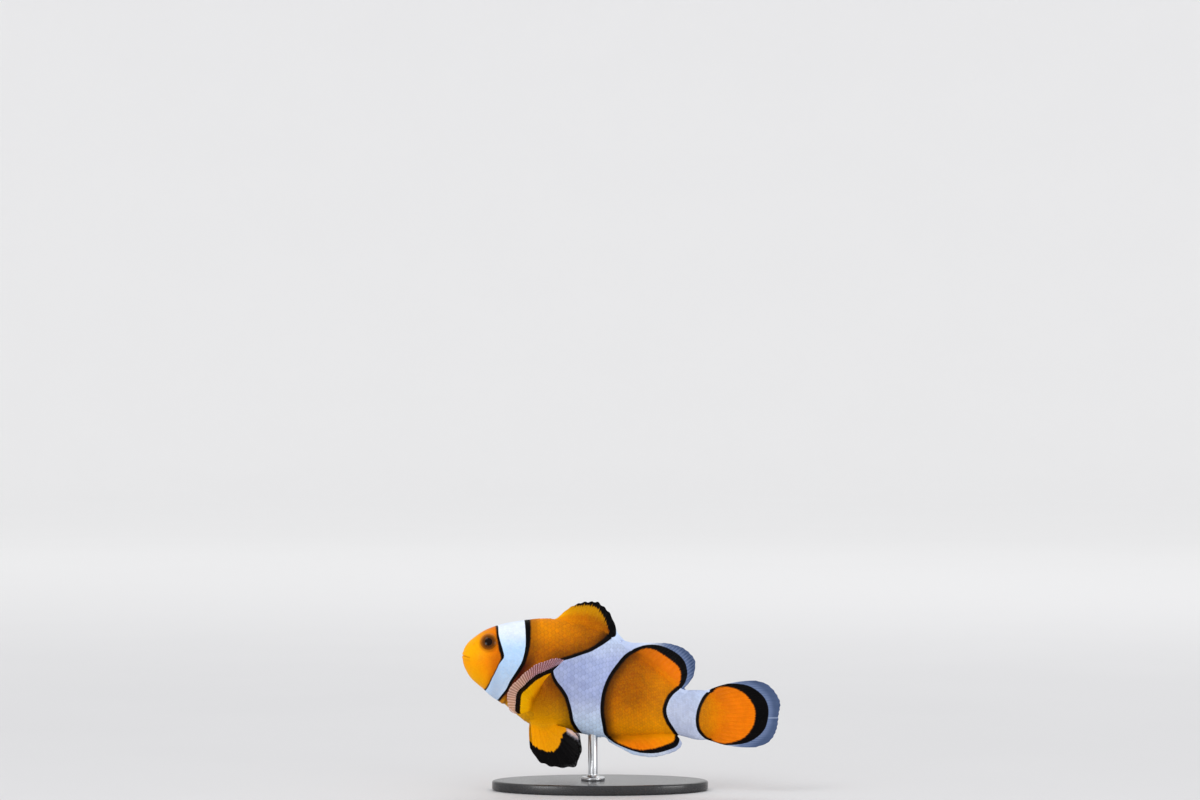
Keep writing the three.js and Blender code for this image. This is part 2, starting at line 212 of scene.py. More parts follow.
class Girth:
    """Angles round the section at even steps of length from the back to the belly."""

    ROWS = 240
    COLUMNS = 129
    FINE_STEPS = 720

    def __init__(self):
        self.last = math.sqrt(FLESH_LENGTH)
        u = np.maximum(np.linspace(0, self.last, self.ROWS) ** 2, 1e-4)
        fine = np.linspace(math.pi / 2, -math.pi / 2, self.FINE_STEPS + 1)
        n, z = section(u[:, None], fine[None, :])
        run = np.hypot(np.diff(n, axis=1), np.diff(z, axis=1)).cumsum(axis=1)
        run = np.hstack([np.zeros((self.ROWS, 1)), run])
        self.length = run[:, -1]
        share = np.linspace(0, 1, self.COLUMNS)
        self.angle = np.array([np.interp(share * r[-1], r, fine) for r in run])

    def row(self, u):
        """The last row at or before u, and the share of the way to the next."""
        at = np.sqrt(np.clip(u, 0, FLESH_LENGTH)) / self.last * (self.ROWS - 1)
        i = np.clip(at.astype(int), 0, self.ROWS - 2)
        return i, at - i

    def around(self, u, share):
        """The angle at which a share of the way from back to belly is covered."""
        i, s = self.row(u)
        at = np.clip(share, 0, 1) * (self.COLUMNS - 1)
        j = np.clip(at.astype(int), 0, self.COLUMNS - 2)
        return in_cell(self.angle, i, j, s, at - j)

    def half(self, u):
        """Length from back to belly over one side."""
        i, s = self.row(u)
        return lerp(self.length[i], self.length[i + 1], s)


girth = Girth()


def on_body(u, share, side):
    """(n, z) at a share of the way from back to belly on one side, 1 for left and -1 for right."""
    n, z = section(u, girth.around(u, share))
    return side * np.abs(n), z


# ---- The eyes' places --------------------------------------------------------------------------


def eye_frame(side):
    """Centre of an eyeball and its axis out of the head, its forward and its upward direction."""
    yaw = -math.radians(side * EYE["yaw"] + float(heading(EYE["u"])))
    roll = -side * math.radians(EYE["roll"])
    turn_roll = np.array([
        [math.cos(roll), 0, math.sin(roll)], [0, 1, 0], [-math.sin(roll), 0, math.cos(roll)],
    ])
    turn_yaw = np.array([
        [math.cos(yaw), -math.sin(yaw), 0], [math.sin(yaw), math.cos(yaw), 0], [0, 0, 1],
    ])
    turn = turn_yaw @ turn_roll
    out = side * turn[:, 0]
    out_at = side * (float(side_at(EYE["u"], EYE["z"])) - EYE["sunk"])
    centre = place(EYE["u"], out_at, EYE["z"])
    return centre, out, turn[:, 1], turn[:, 2]


# ---- Relief of the head ------------------------------------------------------------------------

MOUTH = {
    "z": 33.9, "slope": -0.3, "corner": 1.5, "depth": 0.2, "width": 0.13, "lip": 0.09,
    "lip_at": 0.45, "lip_width": 0.3, "crease_at": 1.2, "crease_width": 0.35,
}
NOSTRIL = {"u": 2.7, "z": 37, "rim": 0.34, "rim_width": 0.14, "height": 0.1, "depth": 0.3, "hole": 0.2}
ORBIT = {"rim": 2.2, "width": 0.28, "height": 0.13, "pit": 0.75, "inner": 1.3, "outer": 1.95}
GILL_EDGE = {
    "raise": 0.3, "reach": 2.2, "drop": 0.2, "drop_reach": 0.9, "sharp": 0.12,
    "bottom": 19, "risen": 22, "falling": 35, "top": 38.5,
}
CHEEK = {"depth": 0.07, "width": 0.35, "fold": 0.05, "fold_ahead": 0.9, "fold_width": 0.7}
CHEEK_GROOVE = [(24.5, 4.6), (26.5, 5.8), (28.3, 6.6), (30.3, 7.6), (32.2, 8.3), (35, 8.7), (38, 8.2)]

cheek_groove = Curve(CHEEK_GROOVE)


def eye_distances(points, side):
    """Distances along an eye's axis, and from that axis."""
    centre, axis, _, _ = eye_frame(side)
    from_eye = points - centre
    along = from_eye @ axis
    return along, np.linalg.norm(from_eye - along[..., None] * axis, axis=-1)


def mouth_line(u, z):
    """Height above the line between the lips, and 1 in the mouth's length, 0 behind its corner."""
    height = z - (MOUTH["z"] + MOUTH["slope"] * u)
    return height, fade(u, MOUTH["corner"] * 0.72, MOUTH["corner"] * 1.25)


def behind_gill_cover(points):
    """Distance behind the rear edge of the gill cover, and 1 where that edge is free."""
    y, z = points[..., 1], points[..., 2]
    distance = np.hypot(y - GILL_ARC["y"], z - GILL_ARC["z"]) - GILL_ARC["radius"]
    return distance, within(z, *(GILL_EDGE[key] for key in ("bottom", "risen", "falling", "top")))


def relief(points, u):
    """How far the skin stands out of the plain body at each point: mouth, orbits, gill covers."""
    z = points[..., 2]
    out = np.zeros(z.shape)

    line, in_mouth = mouth_line(u, z)
    out -= MOUTH["depth"] * in_mouth * bump_at(line, MOUTH["width"])
    lips = fade(u, MOUTH["corner"] * 0.7, MOUTH["corner"] * 1.6)
    out += MOUTH["lip"] * lips * bump_at(np.abs(line) - MOUTH["lip_at"], MOUTH["lip_width"])
    out -= 0.5 * MOUTH["lip"] * lips * bump_at(np.abs(line) - MOUTH["crease_at"], MOUTH["crease_width"])

    nostril_side = float(side_at(NOSTRIL["u"], NOSTRIL["z"]))
    for one in (1, -1):
        centre = place(NOSTRIL["u"], one * nostril_side, NOSTRIL["z"])
        away = np.linalg.norm(points - centre, axis=-1)
        out += NOSTRIL["height"] * bump_at(away - NOSTRIL["rim"], NOSTRIL["rim_width"])
        out -= NOSTRIL["depth"] * bump_at(away, NOSTRIL["hole"])

        along, radial = eye_distances(points, one)
        near = smooth(along, -2.2, -0.8)
        out += near * ORBIT["height"] * bump_at(radial - ORBIT["rim"], ORBIT["width"])
        out -= near * ORBIT["pit"] * fade(radial, ORBIT["inner"], ORBIT["outer"])

    from_edge, free = behind_gill_cover(points)
    cover = GILL_EDGE["raise"] * np.exp(np.minimum(from_edge, 0) / GILL_EDGE["reach"])
    behind = -GILL_EDGE["drop"] * np.exp(-np.maximum(from_edge, 0) / GILL_EDGE["drop_reach"])
    step = 0.5 + 0.5 * np.tanh(from_edge / GILL_EDGE["sharp"])
    out += free * lerp(cover, behind, step)

    groove = u - cheek_groove(z)
    on_cheek = within(z, 25, 27.5, 34.5, 37.5)
    out -= CHEEK["depth"] * on_cheek * bump_at(groove, CHEEK["width"])
    out += CHEEK["fold"] * on_cheek * bump_at(groove + CHEEK["fold_ahead"], CHEEK["fold_width"])
    return out


# ---- Meshes ------------------------------------------------------------------------------------


def make_object(name, points, faces, scale=METRE):
    """A smooth mesh object from points in millimetres and arrays of quads or triangles."""
    mesh = bpy.data.meshes.new(name)
    corners = np.concatenate([f.ravel() for f in faces]).astype(np.int32)
    sizes = np.concatenate([np.full(len(f), f.shape[1]) for f in faces])
    starts = np.concatenate([[0], np.cumsum(sizes)[:-1]]).astype(np.int32)
    mesh.vertices.add(len(points))
    mesh.vertices.foreach_set("co", (points * scale).astype(np.float32).ravel())
    mesh.loops.add(len(corners))
    mesh.loops.foreach_set("vertex_index", corners)
    mesh.polygons.add(len(sizes))
    mesh.polygons.foreach_set("loop_start", starts)
    mesh.update(calc_edges=True)
    mesh.shade_smooth()
    made = bpy.data.objects.new(name, mesh)
    bpy.context.scene.collection.objects.link(made)
    return made


def set_attribute(mesh, name, values):
    """Adds one number for each point of a mesh."""
    attribute = mesh.attributes.new(name, "FLOAT", "POINT")
    attribute.data.foreach_set("value", np.asarray(values, np.float32))


def read(items, name, kind=np.int32, width=1):
    """One property of all items of a mesh, as a row for each if it is more than one number wide."""
    values = np.zeros(len(items) * width, kind)
    items.foreach_get(name, values)
    return values if width == 1 else values.reshape(-1, width)


def tree_of(points):
    """A tree that finds the nearest of some points."""
    tree = KDTree(len(points))
    for i, point in enumerate(points):
        tree.insert(point, i)
    tree.balance()
    return tree


def quads_of(ids):
    """Quads between the rows and columns of a grid of point numbers."""
    return np.stack([ids[:-1, :-1], ids[1:, :-1], ids[1:, 1:], ids[:-1, 1:]], axis=-1).reshape(-1, 4)


def closed_quads(rows, columns):
    """Quads of a grid of points numbered row by row, closed round its columns."""
    ids = np.arange(rows * columns).reshape(rows, columns)
    return quads_of(np.hstack([ids, ids[:, :1]]))


def fan(tip, ring):
    """Triangles from one point to a closed ring of points."""
    return np.stack([np.full(len(ring), tip), ring, np.roll(ring, -1)], axis=-1)


def outward_faces(points, faces):
    """The same faces, turned over together if they enclose a negative volume."""
    volume = 0
    for f in faces:
        for k in range(1, f.shape[1] - 1):
            a, b, c = points[f[:, 0]], points[f[:, k]], points[f[:, k + 1]]
            volume += np.sum(a * np.cross(b, c))
    return faces if volume > 0 else [f[:, ::-1] for f in faces]


def capped(rings, start, end):
    """Points and faces of a closed form from its rings and a point at each end."""
    rows, columns = rings.shape[:2]
    points = np.vstack([rings.reshape(-1, 3), start, end])
    first = np.arange(columns)
    front = fan(len(points) - 2, first)
    rear = fan(len(points) - 1, first + (rows - 1) * columns)[:, [0, 2, 1]]
    return points, outward_faces(points, [closed_quads(rows, columns), front, rear])


def turns(sides):
    """Even angles round a circle."""
    return np.arange(sides) * 2 * np.pi / sides


# ---- The body's skin ---------------------------------------------------------------------------

BODY_COLUMNS = 256
HEAD_RINGS = {"end": 13, "root_step": 0.03}  # stepped by the root of the distance from the snout
GILL_RINGS = {"end": 19, "step": 0.2}
TRUNK_RING_STEP = 0.32


def ring_places():
    """Distances of the skin's rings from the snout, closer together on the head."""
    head = np.arange(HEAD_RINGS["root_step"], math.sqrt(HEAD_RINGS["end"]), HEAD_RINGS["root_step"]) ** 2
    gill = np.arange(HEAD_RINGS["end"], GILL_RINGS["end"], GILL_RINGS["step"])
    trunk = np.arange(GILL_RINGS["end"], FLESH_LENGTH, TRUNK_RING_STEP)
    return np.concatenate([head, gill, trunk, [FLESH_LENGTH]])


def body_skin():
    """Points, faces and places (u, n, z) of the body without its fins."""
    u = ring_places()
    half = BODY_COLUMNS // 2
    turn = np.arange(BODY_COLUMNS)
    share = np.where(turn <= half, turn, BODY_COLUMNS - turn) / half
    side = np.where(turn <= half, 1, -1)
    u_grid = np.broadcast_to(u[:, None], (len(u), BODY_COLUMNS))
    n, z = on_body(u_grid, np.broadcast_to(share, u_grid.shape), side)
    grid = place(u_grid, n, z)

    along = np.gradient(grid, axis=0)
    around = np.roll(grid, -1, axis=1) - np.roll(grid, 1, axis=1)
    outward = unit(np.cross(around, along))
    grid = grid + outward * (relief(grid, u_grid) - SKIN_DEPTH)[..., None]

    points, faces = capped(grid, grid[0].mean(axis=0), grid[-1].mean(axis=0))
    flat_u = np.concatenate([u_grid.ravel(), [0, FLESH_LENGTH]])
    flat_n = np.concatenate([n.ravel(), [0, 0]])
    return points, faces, flat_u, flat_n


# ---- Fins --------------------------------------------------------------------------------------

ROOT_STEPS = 8


def root_line(start, end, line, sink):
    """Keys of a fin's root, sunk below a line of the body."""
    u = np.linspace(start, end, ROOT_STEPS + 1)
    return np.column_stack([np.linspace(0, 1, ROOT_STEPS + 1), u, line(u) + sink])


def median_fin(root, outline, bow=0.0):
    """The middle surface of a fin in the fish's middle plane, as (u, n, z) of (a, b). The rays
    at its two edges bow outward by bow."""
    root_at, rim_at = Curve(root), Curve(outline)

    def surface(a, b):
        start, end = root_at(a), rim_at(a)
        u = lerp(start[..., 0], end[..., 0], b)
        z = lerp(start[..., 1], end[..., 1], b) + bow * (1 - 2 * a) * 4 * b * (1 - b)
        return u, np.zeros_like(u), z

    return surface


def paired_fin(root, middle, outline, side):
    """The middle surface of a fin of one side, whose rays curve through a middle line."""
    root_at, middle_at, rim_at = Curve(root), Curve(middle), Curve(outline)

    def surface(a, b):
        s = b[..., None]
        at = root_at(a) * (1 - s) * (1 - 2 * s) + middle_at(a) * 4 * s * (1 - s)
        at = at + rim_at(a) * s * (2 * s - 1)
        return at[..., 0], side * at[..., 1], at[..., 2]

    return surface


SPINY_DORSAL = [
    (0, 24.1, 43.2), (0.1, 25.6, 44.6), (0.24, 28, 46.2), (0.4, 30.8, 47.1), (0.56, 33.5, 47.2),
    (0.7, 35.7, 45.8), (0.82, 37.3, 43.9), (0.91, 38.4, 41.2), (0.97, 39.1, 39.2), (0.985, 39.9, 38.1),
    (0.992, 41, 37.5), (1, 42.4, 36),
]  # the last points lie in the soft fin, which the membrane runs on into
SOFT_DORSAL = [
    (0, 40.4, 37.6), (0.1, 43.2, 36.9), (0.25, 47, 37), (0.4, 50.9, 37), (0.55, 54.7, 36.3),
    (0.7, 57.8, 34.5), (0.82, 59.1, 32.2), (0.92, 58.6, 29.2), (1, 57.1, 26.8),
]
ANAL = [
    (0, 36.6, 12.1), (0.12, 39.6, 10.6), (0.28, 43.6, 8.8), (0.45, 47.6, 8.4), (0.62, 51.4, 9.2),
    (0.78, 54.3, 10.4), (0.9, 55.6, 12), (1, 54.9, 13.3),
]
CAUDAL_ROOT = [(0, 59.4, 24.4), (0.25, 62.6, 22.4), (0.5, 63.6, 19.4), (0.75, 62.6, 16.5), (1, 59.4, 14.2)]
CAUDAL = [
    (0, 74.4, 28.2), (0.09, 76.8, 27.5), (0.22, 79.3, 25.2), (0.36, 80.5, 22.4), (0.5, 80.1, 19.9),
    (0.64, 79.8, 17.2), (0.78, 79, 14.8), (0.9, 77.2, 12.7), (1, 74.4, 11.7),
]
PECTORAL = {
    "root": [(0, 19.6, 4.9, 26.4), (0.5, 18.4, 4.5, 23.4), (1, 17, 3.4, 20.6)],
    "middle": [
        (0, 20, 12.8, 28.9), (0.25, 18.4, 13.1, 28.2), (0.5, 16.2, 13.2, 26.6),
        (0.75, 14.4, 12, 24.2), (1, 14.7, 8.8, 20.1),
    ],
    "outline": [
        (0, 25, 17.2, 33.7), (0.12, 22.7, 19.5, 34.6), (0.28, 18.4, 20.8, 33.6),
        (0.45, 14.6, 21.2, 31.7), (0.62, 11.5, 20.6, 28.9), (0.78, 9.6, 18.8, 25.5),
        (0.9, 9.8, 16.9, 22.6), (0.96, 10.7, 15.5, 21.2), (1, 12.1, 13.9, 20.6),
    ],
}
PELVIC = {
    "root": [(0, 17, 1.2, 18), (0.5, 19.4, 1.5, 17.2), (1, 22, 1.5, 16.6)],
    "middle": [(0, 17.1, 4.3, 14), (0.5, 21.6, 4.8, 12.3), (1, 25.1, 3.9, 16.2)],
    "outline": [
        (0, 17.5, 6.6, 9.9), (0.12, 18.6, 7.2, 8), (0.28, 20.8, 7.6, 7), (0.45, 23.8, 7.8, 6.4),
        (0.6, 27.1, 7.8, 6.3), (0.74, 29.2, 7.4, 7.5), (0.86, 29.6, 6.8, 10.5), (0.94, 29.3, 6, 13.4),
        (1, 27.6, 5.2, 15.3),
    ],
}
PELVIC_RIGHT_SWING = {"u": 0.5, "z": -0.6}

# Thickness is half that of the membrane and of the rays, each at the root and at the rim.
THIN = (0.17, 0.09, 0.08, 0.035)
SHEETS = {
    "spiny": {
        "samples": (150, 24), "size": (22, 6), "rays": 10, "forks": (9, 9),
        "thick": (0.17, 0.09, 0.13, 0.07), "ripple": 0.06, "notch": 0.045, "flare": 0.7,
    },
    "soft": {
        "samples": (240, 30), "size": (26, 9), "rays": 15, "forks": (0.45, 0.8),
        "thick": THIN, "ripple": 0.1, "notch": 0.012, "flare": 0.7,
    },
    "anal": {
        "samples": (190, 20), "size": (20, 5), "rays": 12, "forks": (0.45, 0.85),
        "thick": THIN, "ripple": 0.08, "notch": 0.015, "flare": 0.7,
    },
    "caudal": {
        "samples": (272, 44), "size": (24, 17), "rays": 16, "forks": (0.35, 0.68),
        "thick": (0.2, 0.09, 0.06, 0.035), "ripple": 0.12, "notch": 0.008, "flare": 0.5,
    },
    "pectoral": {
        "samples": (272, 48), "size": (22, 19), "rays": 17, "forks": (0.4, 9),
        "thick": THIN, "ripple": 0.12, "notch": 0.012, "flare": 0.35,
    },
    "pelvic": {
        "samples": (132, 30), "size": (12, 11), "rays": 6, "forks": (0.4, 0.7),
        "thick": (0.17, 0.09, 0.12, 0.05), "ripple": 0.1, "notch": 0.02, "flare": 0.35,
    },
}
EDGE_ROUNDING = 0.15
FLARE_REACH = 1.6
FIRST_RAY = {"thick": 0.12, "at": 0.2, "width": 0.25}
RAY_WIDTHS = (0.17, 0.075)  # at the root and at the rim, in distances between rays
END_SAMPLES = (0.04, 0.1)


def swung(fin, u, z):
    """A paired fin whose last rays are moved back by u and up by z at the rim."""

    def shift(keys, share):
        return [(k[0], k[1] + u * share * k[0], k[2], k[3] + z * share * k[0]) for k in keys]

    return {"root": fin["root"], "middle": shift(fin["middle"], 0.45), "outline": shift(fin["outline"], 1)}


def bone_lines(a, b, rays, forks):
    """How close a place is to a ray: 1 on its middle line. Rays fork in two, twice."""
    across = (a * rays) % 1 - 0.5
    first = 0.25 * smooth(b, forks[0] - 0.08, forks[0] + 0.3)
    second = 0.125 * smooth(b, forks[1] - 0.06, forks[1] + 0.25)
    away = np.abs(np.abs(np.abs(across) - first) - second)
    return bump_at(away, lerp(*RAY_WIDTHS, smooth(b, 0.1, 0.9)))


def with_ends(samples, length):
    """Even samples from 0 to 1, with some added close to both ends of a length."""
    even = np.linspace(0, 1, samples)
    ends = [d / length for d in END_SAMPLES]
    return np.unique(np.concatenate([even, ends, [1 - e for e in ends]]))


def run_from(grid, axis):
    """Distances along the grid's lines from their first point and from their last."""
    steps = np.linalg.norm(np.diff(grid, axis=axis), axis=-1)
    zero = np.zeros_like(np.take(steps, [0], axis=axis))
    run = np.concatenate([zero, np.cumsum(steps, axis=axis)], axis=axis)
    return run, np.take(run, [-1], axis=axis) - run


def fin_sheet(kind, surface):
    """A closed sheet with rays in relief. Places on it are (a, b), across the rays and along them."""
    sheet = SHEETS[kind]
    samples, size, rays, thick = sheet["samples"], sheet["size"], sheet["rays"], sheet["thick"]
    a, b = np.meshgrid(with_ends(samples[0], size[0]), with_ends(samples[1], size[1]), indexing="ij")
    lines = bone_lines(a, b, rays, sheet["forks"])
    between = 0.5 - 0.5 * np.cos(2 * np.pi * (a * rays - 0.5))
    reach = b * (1 - sheet["notch"] * (1 - between) * smooth(b, 0.3, 1))
    u, n, z = surface(a, reach)
    middle = place(u, n, z)
    normal = unit(np.cross(np.gradient(middle, axis=0), np.gradient(middle, axis=1)))
    wave = np.sin(2 * np.pi * (a * 2.7 + 0.3 * b)) + 0.6 * np.sin(2 * np.pi * (a * 6.1 + 0.2))
    middle = middle + normal * (sheet["ripple"] * b * b * wave)[..., None]

    (from_first, from_last), (from_root, from_rim) = run_from(middle, 0), run_from(middle, 1)
    edge = np.minimum.reduce([from_first, from_last, from_root, from_rim])
    round_off = np.sqrt(1 - (1 - np.clip(edge / EDGE_ROUNDING, 0, 1)) ** 2)
    membrane = lerp(thick[0], thick[1], np.sqrt(b))
    ray = lerp(thick[2], thick[3], smooth(b, 0, 1)) * lines
    first_ray = FIRST_RAY["thick"] * bump_at(from_first - FIRST_RAY["at"], FIRST_RAY["width"])
    flare = sheet["flare"] * np.exp(-from_root / FLARE_REACH)
    half = (membrane + ray + first_ray * (1 - 0.7 * b) + flare) * round_off

    rows, columns = a.shape
    top = np.arange(rows * columns).reshape(rows, columns)
    bottom = top.copy()
    inner = (rows - 2) * (columns - 2)
    bottom[1:-1, 1:-1] = rows * columns + np.arange(inner).reshape(rows - 2, columns - 2)
    points = np.vstack([
        (middle + normal * half[..., None]).reshape(-1, 3),
        (middle - normal * half[..., None])[1:-1, 1:-1].reshape(-1, 3),
    ])

    faces = outward_faces(points, [np.vstack([quads_of(top), quads_of(bottom)[:, ::-1]])])

    values = {"u": u, "z": z, "a": a, "b": b, "ray": lines, "length": from_root + from_rim, "rim": from_rim}
    both = {name: np.concatenate([v.ravel(), v[1:-1, 1:-1].ravel()]) for name, v in values.items()}
    return {"kind": kind, "points": points, "faces": faces[0], **both}


def all_fins():
    """The eight fins as sheets."""
    surfaces = [
        ("spiny", median_fin(root_line(22.6, 38.4, back, -FIN_ROOT), SPINY_DORSAL)),
        ("soft", median_fin(root_line(39.2, 55.4, back, -FIN_ROOT), SOFT_DORSAL)),
        ("anal", median_fin(root_line(35.6, 53.4, belly, FIN_ROOT), ANAL)),
        ("caudal", median_fin(CAUDAL_ROOT, CAUDAL, bow=0.9)),
    ]
    for side in (1, -1):
        pelvic = PELVIC if side > 0 else swung(PELVIC, **PELVIC_RIGHT_SWING)
        surfaces += [
            ("pectoral", paired_fin(**PECTORAL, side=side)), ("pelvic", paired_fin(**pelvic, side=side)),
        ]
    return [fin_sheet(kind, surface) for kind, surface in surfaces]


# ---- Markings ----------------------------------------------------------------------------------

# Each orange field is bounded by a closed line of (u, z, width of black inside the line), where
# the line is the outer edge of the black. Outside all fields the fish is white or see-through.
FACE_FIELD = [
    (8.9, 41.9, 0.45), (8.8, 39.4, 0.5), (9.2, 37.4, 0.65), (9.8, 35.3, 0.9), (10, 33.8, 0.6),
    (8.9, 32.2, 0.15), (8, 30.3, 0.12), (7, 28.3, 0.18), (6.3, 26.5, 0.26), (5.8, 25.4, 0.36),
    (5.2, 23.5, 0.4), (3, 20, 0), (-5, 24, 0), (-5, 44, 0), (4, 46, 0.3), (8.8, 44.5, 0.45),
]
FRONT_FIELD = [
    (15.6, 42.6, 1.35), (15.6, 39.4, 1.25), (15.5, 36.9, 1.1), (15.1, 34.7, 1), (14.4, 32.5, 0.9),
    (12.9, 30, 0.8), (11.5, 27.8, 0.7), (10.6, 25.8, 0.6), (9.3, 23.8, 0.55), (8.3, 21.5, 0.5),
    (10, 14, 0), (20, 9, 0), (28.5, 10, 0.5), (30.2, 13.6, 0.8), (29, 15.7, 0.8), (28, 17.5, 0.85),
    (27.5, 20, 0.85), (27, 21.9, 0.85), (26.2, 24.2, 0.85), (24.9, 26.1, 0.85), (23.6, 27.7, 0.8),
    (22.8, 29.2, 0.7), (22.6, 30.8, 0.6), (23.3, 32.1, 0.6), (25.2, 32.8, 0.7), (27.5, 33.4, 0.75),
    (30.1, 34.25, 0.75), (32.5, 35, 0.8), (35.1, 36.35, 0.95), (37.1, 37.65, 1.2), (38.4, 38.75, 1.7),
    (38.6, 40.4, 1.9), (37.8, 43.3, 2), (36.1, 46.1, 1.9), (33.7, 47.5, 1.6), (30.8, 47.5, 1.2),
    (28, 46.8, 0.75), (24, 47, 0), (19, 46.5, 0), (15.8, 45, 1.3),
]
REAR_FIELD = [
    (46.2, 36.4, 0.75), (44.4, 35.9, 0.8), (42.8, 35.2, 0.85), (41.2, 34.1, 0.9), (39.1, 31.6, 0.9),
    (37.5, 29.4, 0.9), (36.2, 26.9, 0.9), (35.4, 24.4, 0.9), (35, 21.7, 0.9), (35, 19.2, 0.9),
    (35.4, 16.4, 0.85), (35.8, 14, 0.7), (37.6, 12.2, 0.45), (40.9, 10.6, 0.4), (44.6, 9.5, 0.6),
    (48.8, 9.5, 1.15), (52.1, 10.4, 1.4), (54.2, 11.4, 1.3), (55, 13, 1.1), (54.7, 14.6, 0.95),
    (53.9, 16.3, 0.95), (52.9, 18.2, 0.95), (52.4, 20.3, 0.95), (52.9, 22.5, 0.9),
    (53.9, 24.3, 0.9), (55.7, 26.1, 0.95), (56.6, 27.6, 1.35), (57, 29.8, 1.6), (56.6, 31.8, 1.9),
    (55.7, 33.3, 2.2), (53.9, 34.7, 2.2), (51.4, 35.9, 1.9), (48.8, 36.5, 1.2),
]
TAIL_FIELD = [
    (63.7, 26.4, 0.6), (61.8, 24.7, 0.75), (60.7, 22.7, 0.75), (60, 20.5, 0.75), (59.7, 18.1, 0.75),
    (60, 15.8, 0.75), (61.2, 14, 0.7), (62.9, 12.8, 0.5), (66.2, 12.1, 0.3), (69.8, 12.3, 0.8),
    (72.5, 12.9, 1.5), (75, 14.4, 2.4), (76.7, 16.4, 2.9), (77.4, 18.8, 3.1), (77.5, 21.5, 3.2),
    (76.7, 23.7, 3.25), (75, 25.5, 2.9), (72.5, 26.9, 2.1), (68.6, 27.4, 1), (65.9, 27.1, 0.5),
]
FIELD_STEP = 0.2
FIELD_U = (-6, 84)
FIELD_Z = (4, 50)
POINTS_PER_KEY = 6
MARKING_ROUNDS = 24  # rounds of smoothing of the orange's edge


def closed_line(keys):
    """A smooth closed line through (u, z, width) keys: a centripetal Catmull-Rom spline."""
    keys = np.array(keys, float)
    around = [np.roll(keys, shift, axis=0) for shift in (1, 0, -1, -2)]
    knots = [np.zeros(len(keys))]
    for one, other in zip(around, around[1:]):
        knots.append(knots[-1] + np.linalg.norm(other[:, :2] - one[:, :2], axis=1) ** 0.5)
    line = []
    for s in np.arange(POINTS_PER_KEY) / POINTS_PER_KEY:
        t = lerp(knots[1], knots[2], s)
        values = around
        for spans in (((0, 1), (1, 2), (2, 3)), ((0, 2), (1, 3)), ((1, 2),)):
            values = [
                lerp(p, q, ((t - knots[i]) / (knots[j] - knots[i]))[:, None])
                for (i, j), p, q in zip(spans, values, values[1:])
            ]
        line.append(values[0])
    return np.stack(line, axis=1).reshape(-1, 3)


def signed_distance(u, z, line):
    """Distance outside a closed line, negative inside, and the line's width where it is nearest."""
    best = np.full(u.shape, np.inf)
    width = np.zeros(u.shape)
    inside = np.zeros(u.shape, bool)
    for start, end in zip(line, np.roll(line, -1, axis=0)):
        du, dz = end[0] - start[0], end[1] - start[1]
        along = np.clip(((u - start[0]) * du + (z - start[1]) * dz) / (du * du + dz * dz), 0, 1)
        away = (u - start[0] - along * du) ** 2 + (z - start[1] - along * dz) ** 2
        nearer = away < best
        best = np.where(nearer, away, best)
        width = np.where(nearer, lerp(start[2], end[2], along), width)
        if dz:
            crosses = ((start[1] > z) != (end[1] > z)) & (u < start[0] + (z - start[1]) / dz * du)
            inside ^= crosses
    distance = np.sqrt(best)
    return np.where(inside, -distance, distance), width


def softened(grid):
    """Every inner value moved halfway to the mean of its four neighbours."""
    out = grid.copy()
    around = grid[:-2, 1:-1] + grid[2:, 1:-1] + grid[1:-1, :-2] + grid[1:-1, 2:]
    out[1:-1, 1:-1] = 0.5 * grid[1:-1, 1:-1] + 0.125 * around
    return out


class Markings:
    """Two maps over (u, z): the distance outside the black, and outside the orange."""

    def __init__(self):
        u = np.arange(FIELD_U[0], FIELD_U[1], FIELD_STEP)
        z = np.arange(FIELD_Z[0], FIELD_Z[1], FIELD_STEP)
        u_grid, z_grid = np.meshgrid(u, z, indexing="ij")
        self.black = np.full(u_grid.shape, np.inf)
        self.orange = np.full(u_grid.shape, np.inf)
        for field in (FACE_FIELD, FRONT_FIELD, REAR_FIELD, TAIL_FIELD):
            distance, width = signed_distance(u_grid, z_grid, closed_line(field))
            self.black = np.minimum(self.black, distance)
            self.orange = np.minimum(self.orange, distance + width)
        for _ in range(MARKING_ROUNDS):
            self.orange = softened(self.orange)

    def at(self, u, z):
        """(distance outside the black, distance outside the orange) at places on the fish."""
        i_at = np.clip((u - FIELD_U[0]) / FIELD_STEP, 0, self.black.shape[0] - 1.001)
        j_at = np.clip((z - FIELD_Z[0]) / FIELD_STEP, 0, self.black.shape[1] - 1.001)
        i, j = i_at.astype(int), j_at.astype(int)
        return [in_cell(grid, i, j, i_at - i, j_at - j) for grid in (self.black, self.orange)]


markings = Markings()

ATTRIBUTES = (
    "black", "orange", "soft", "yellow", "glow", "blue", "lilac", "dusk", "halo", "veil", "clear", "pink",
    "ray",
)

# Where orange ends and black ends along the rays of the paired fins, as (a, share of the ray).
PECTORAL_ORANGE = Curve([(0, 0.7), (0.15, 0.66), (0.5, 0.615), (0.8, 0.62), (1, 0.71)])
PECTORAL_BLACK = Curve([(0, 0.93), (0.05, 0.86), (0.15, 0.79), (0.5, 0.76), (0.8, 0.77), (1, 0.88)])
PELVIC_ORANGE = Curve([
    (0, 0.77), (0.15, 0.74), (0.28, 0.73), (0.45, 0.7), (0.6, 0.66), (0.74, 0.63), (0.86, 0.61),
    (0.94, 0.68), (1, 0.85),
])


# The rear edge of the head's white bar, as (z, u). Behind it a dark reddish strip is painted: shade under
# the gill cover and the pectoral fin's base.
BAR_REAR = Curve([
    (21.5, 8.3), (23.8, 9.3), (25.8, 10.6), (27.8, 11.5), (30, 12.9), (32.5, 14.4), (34.7, 15.1),
])


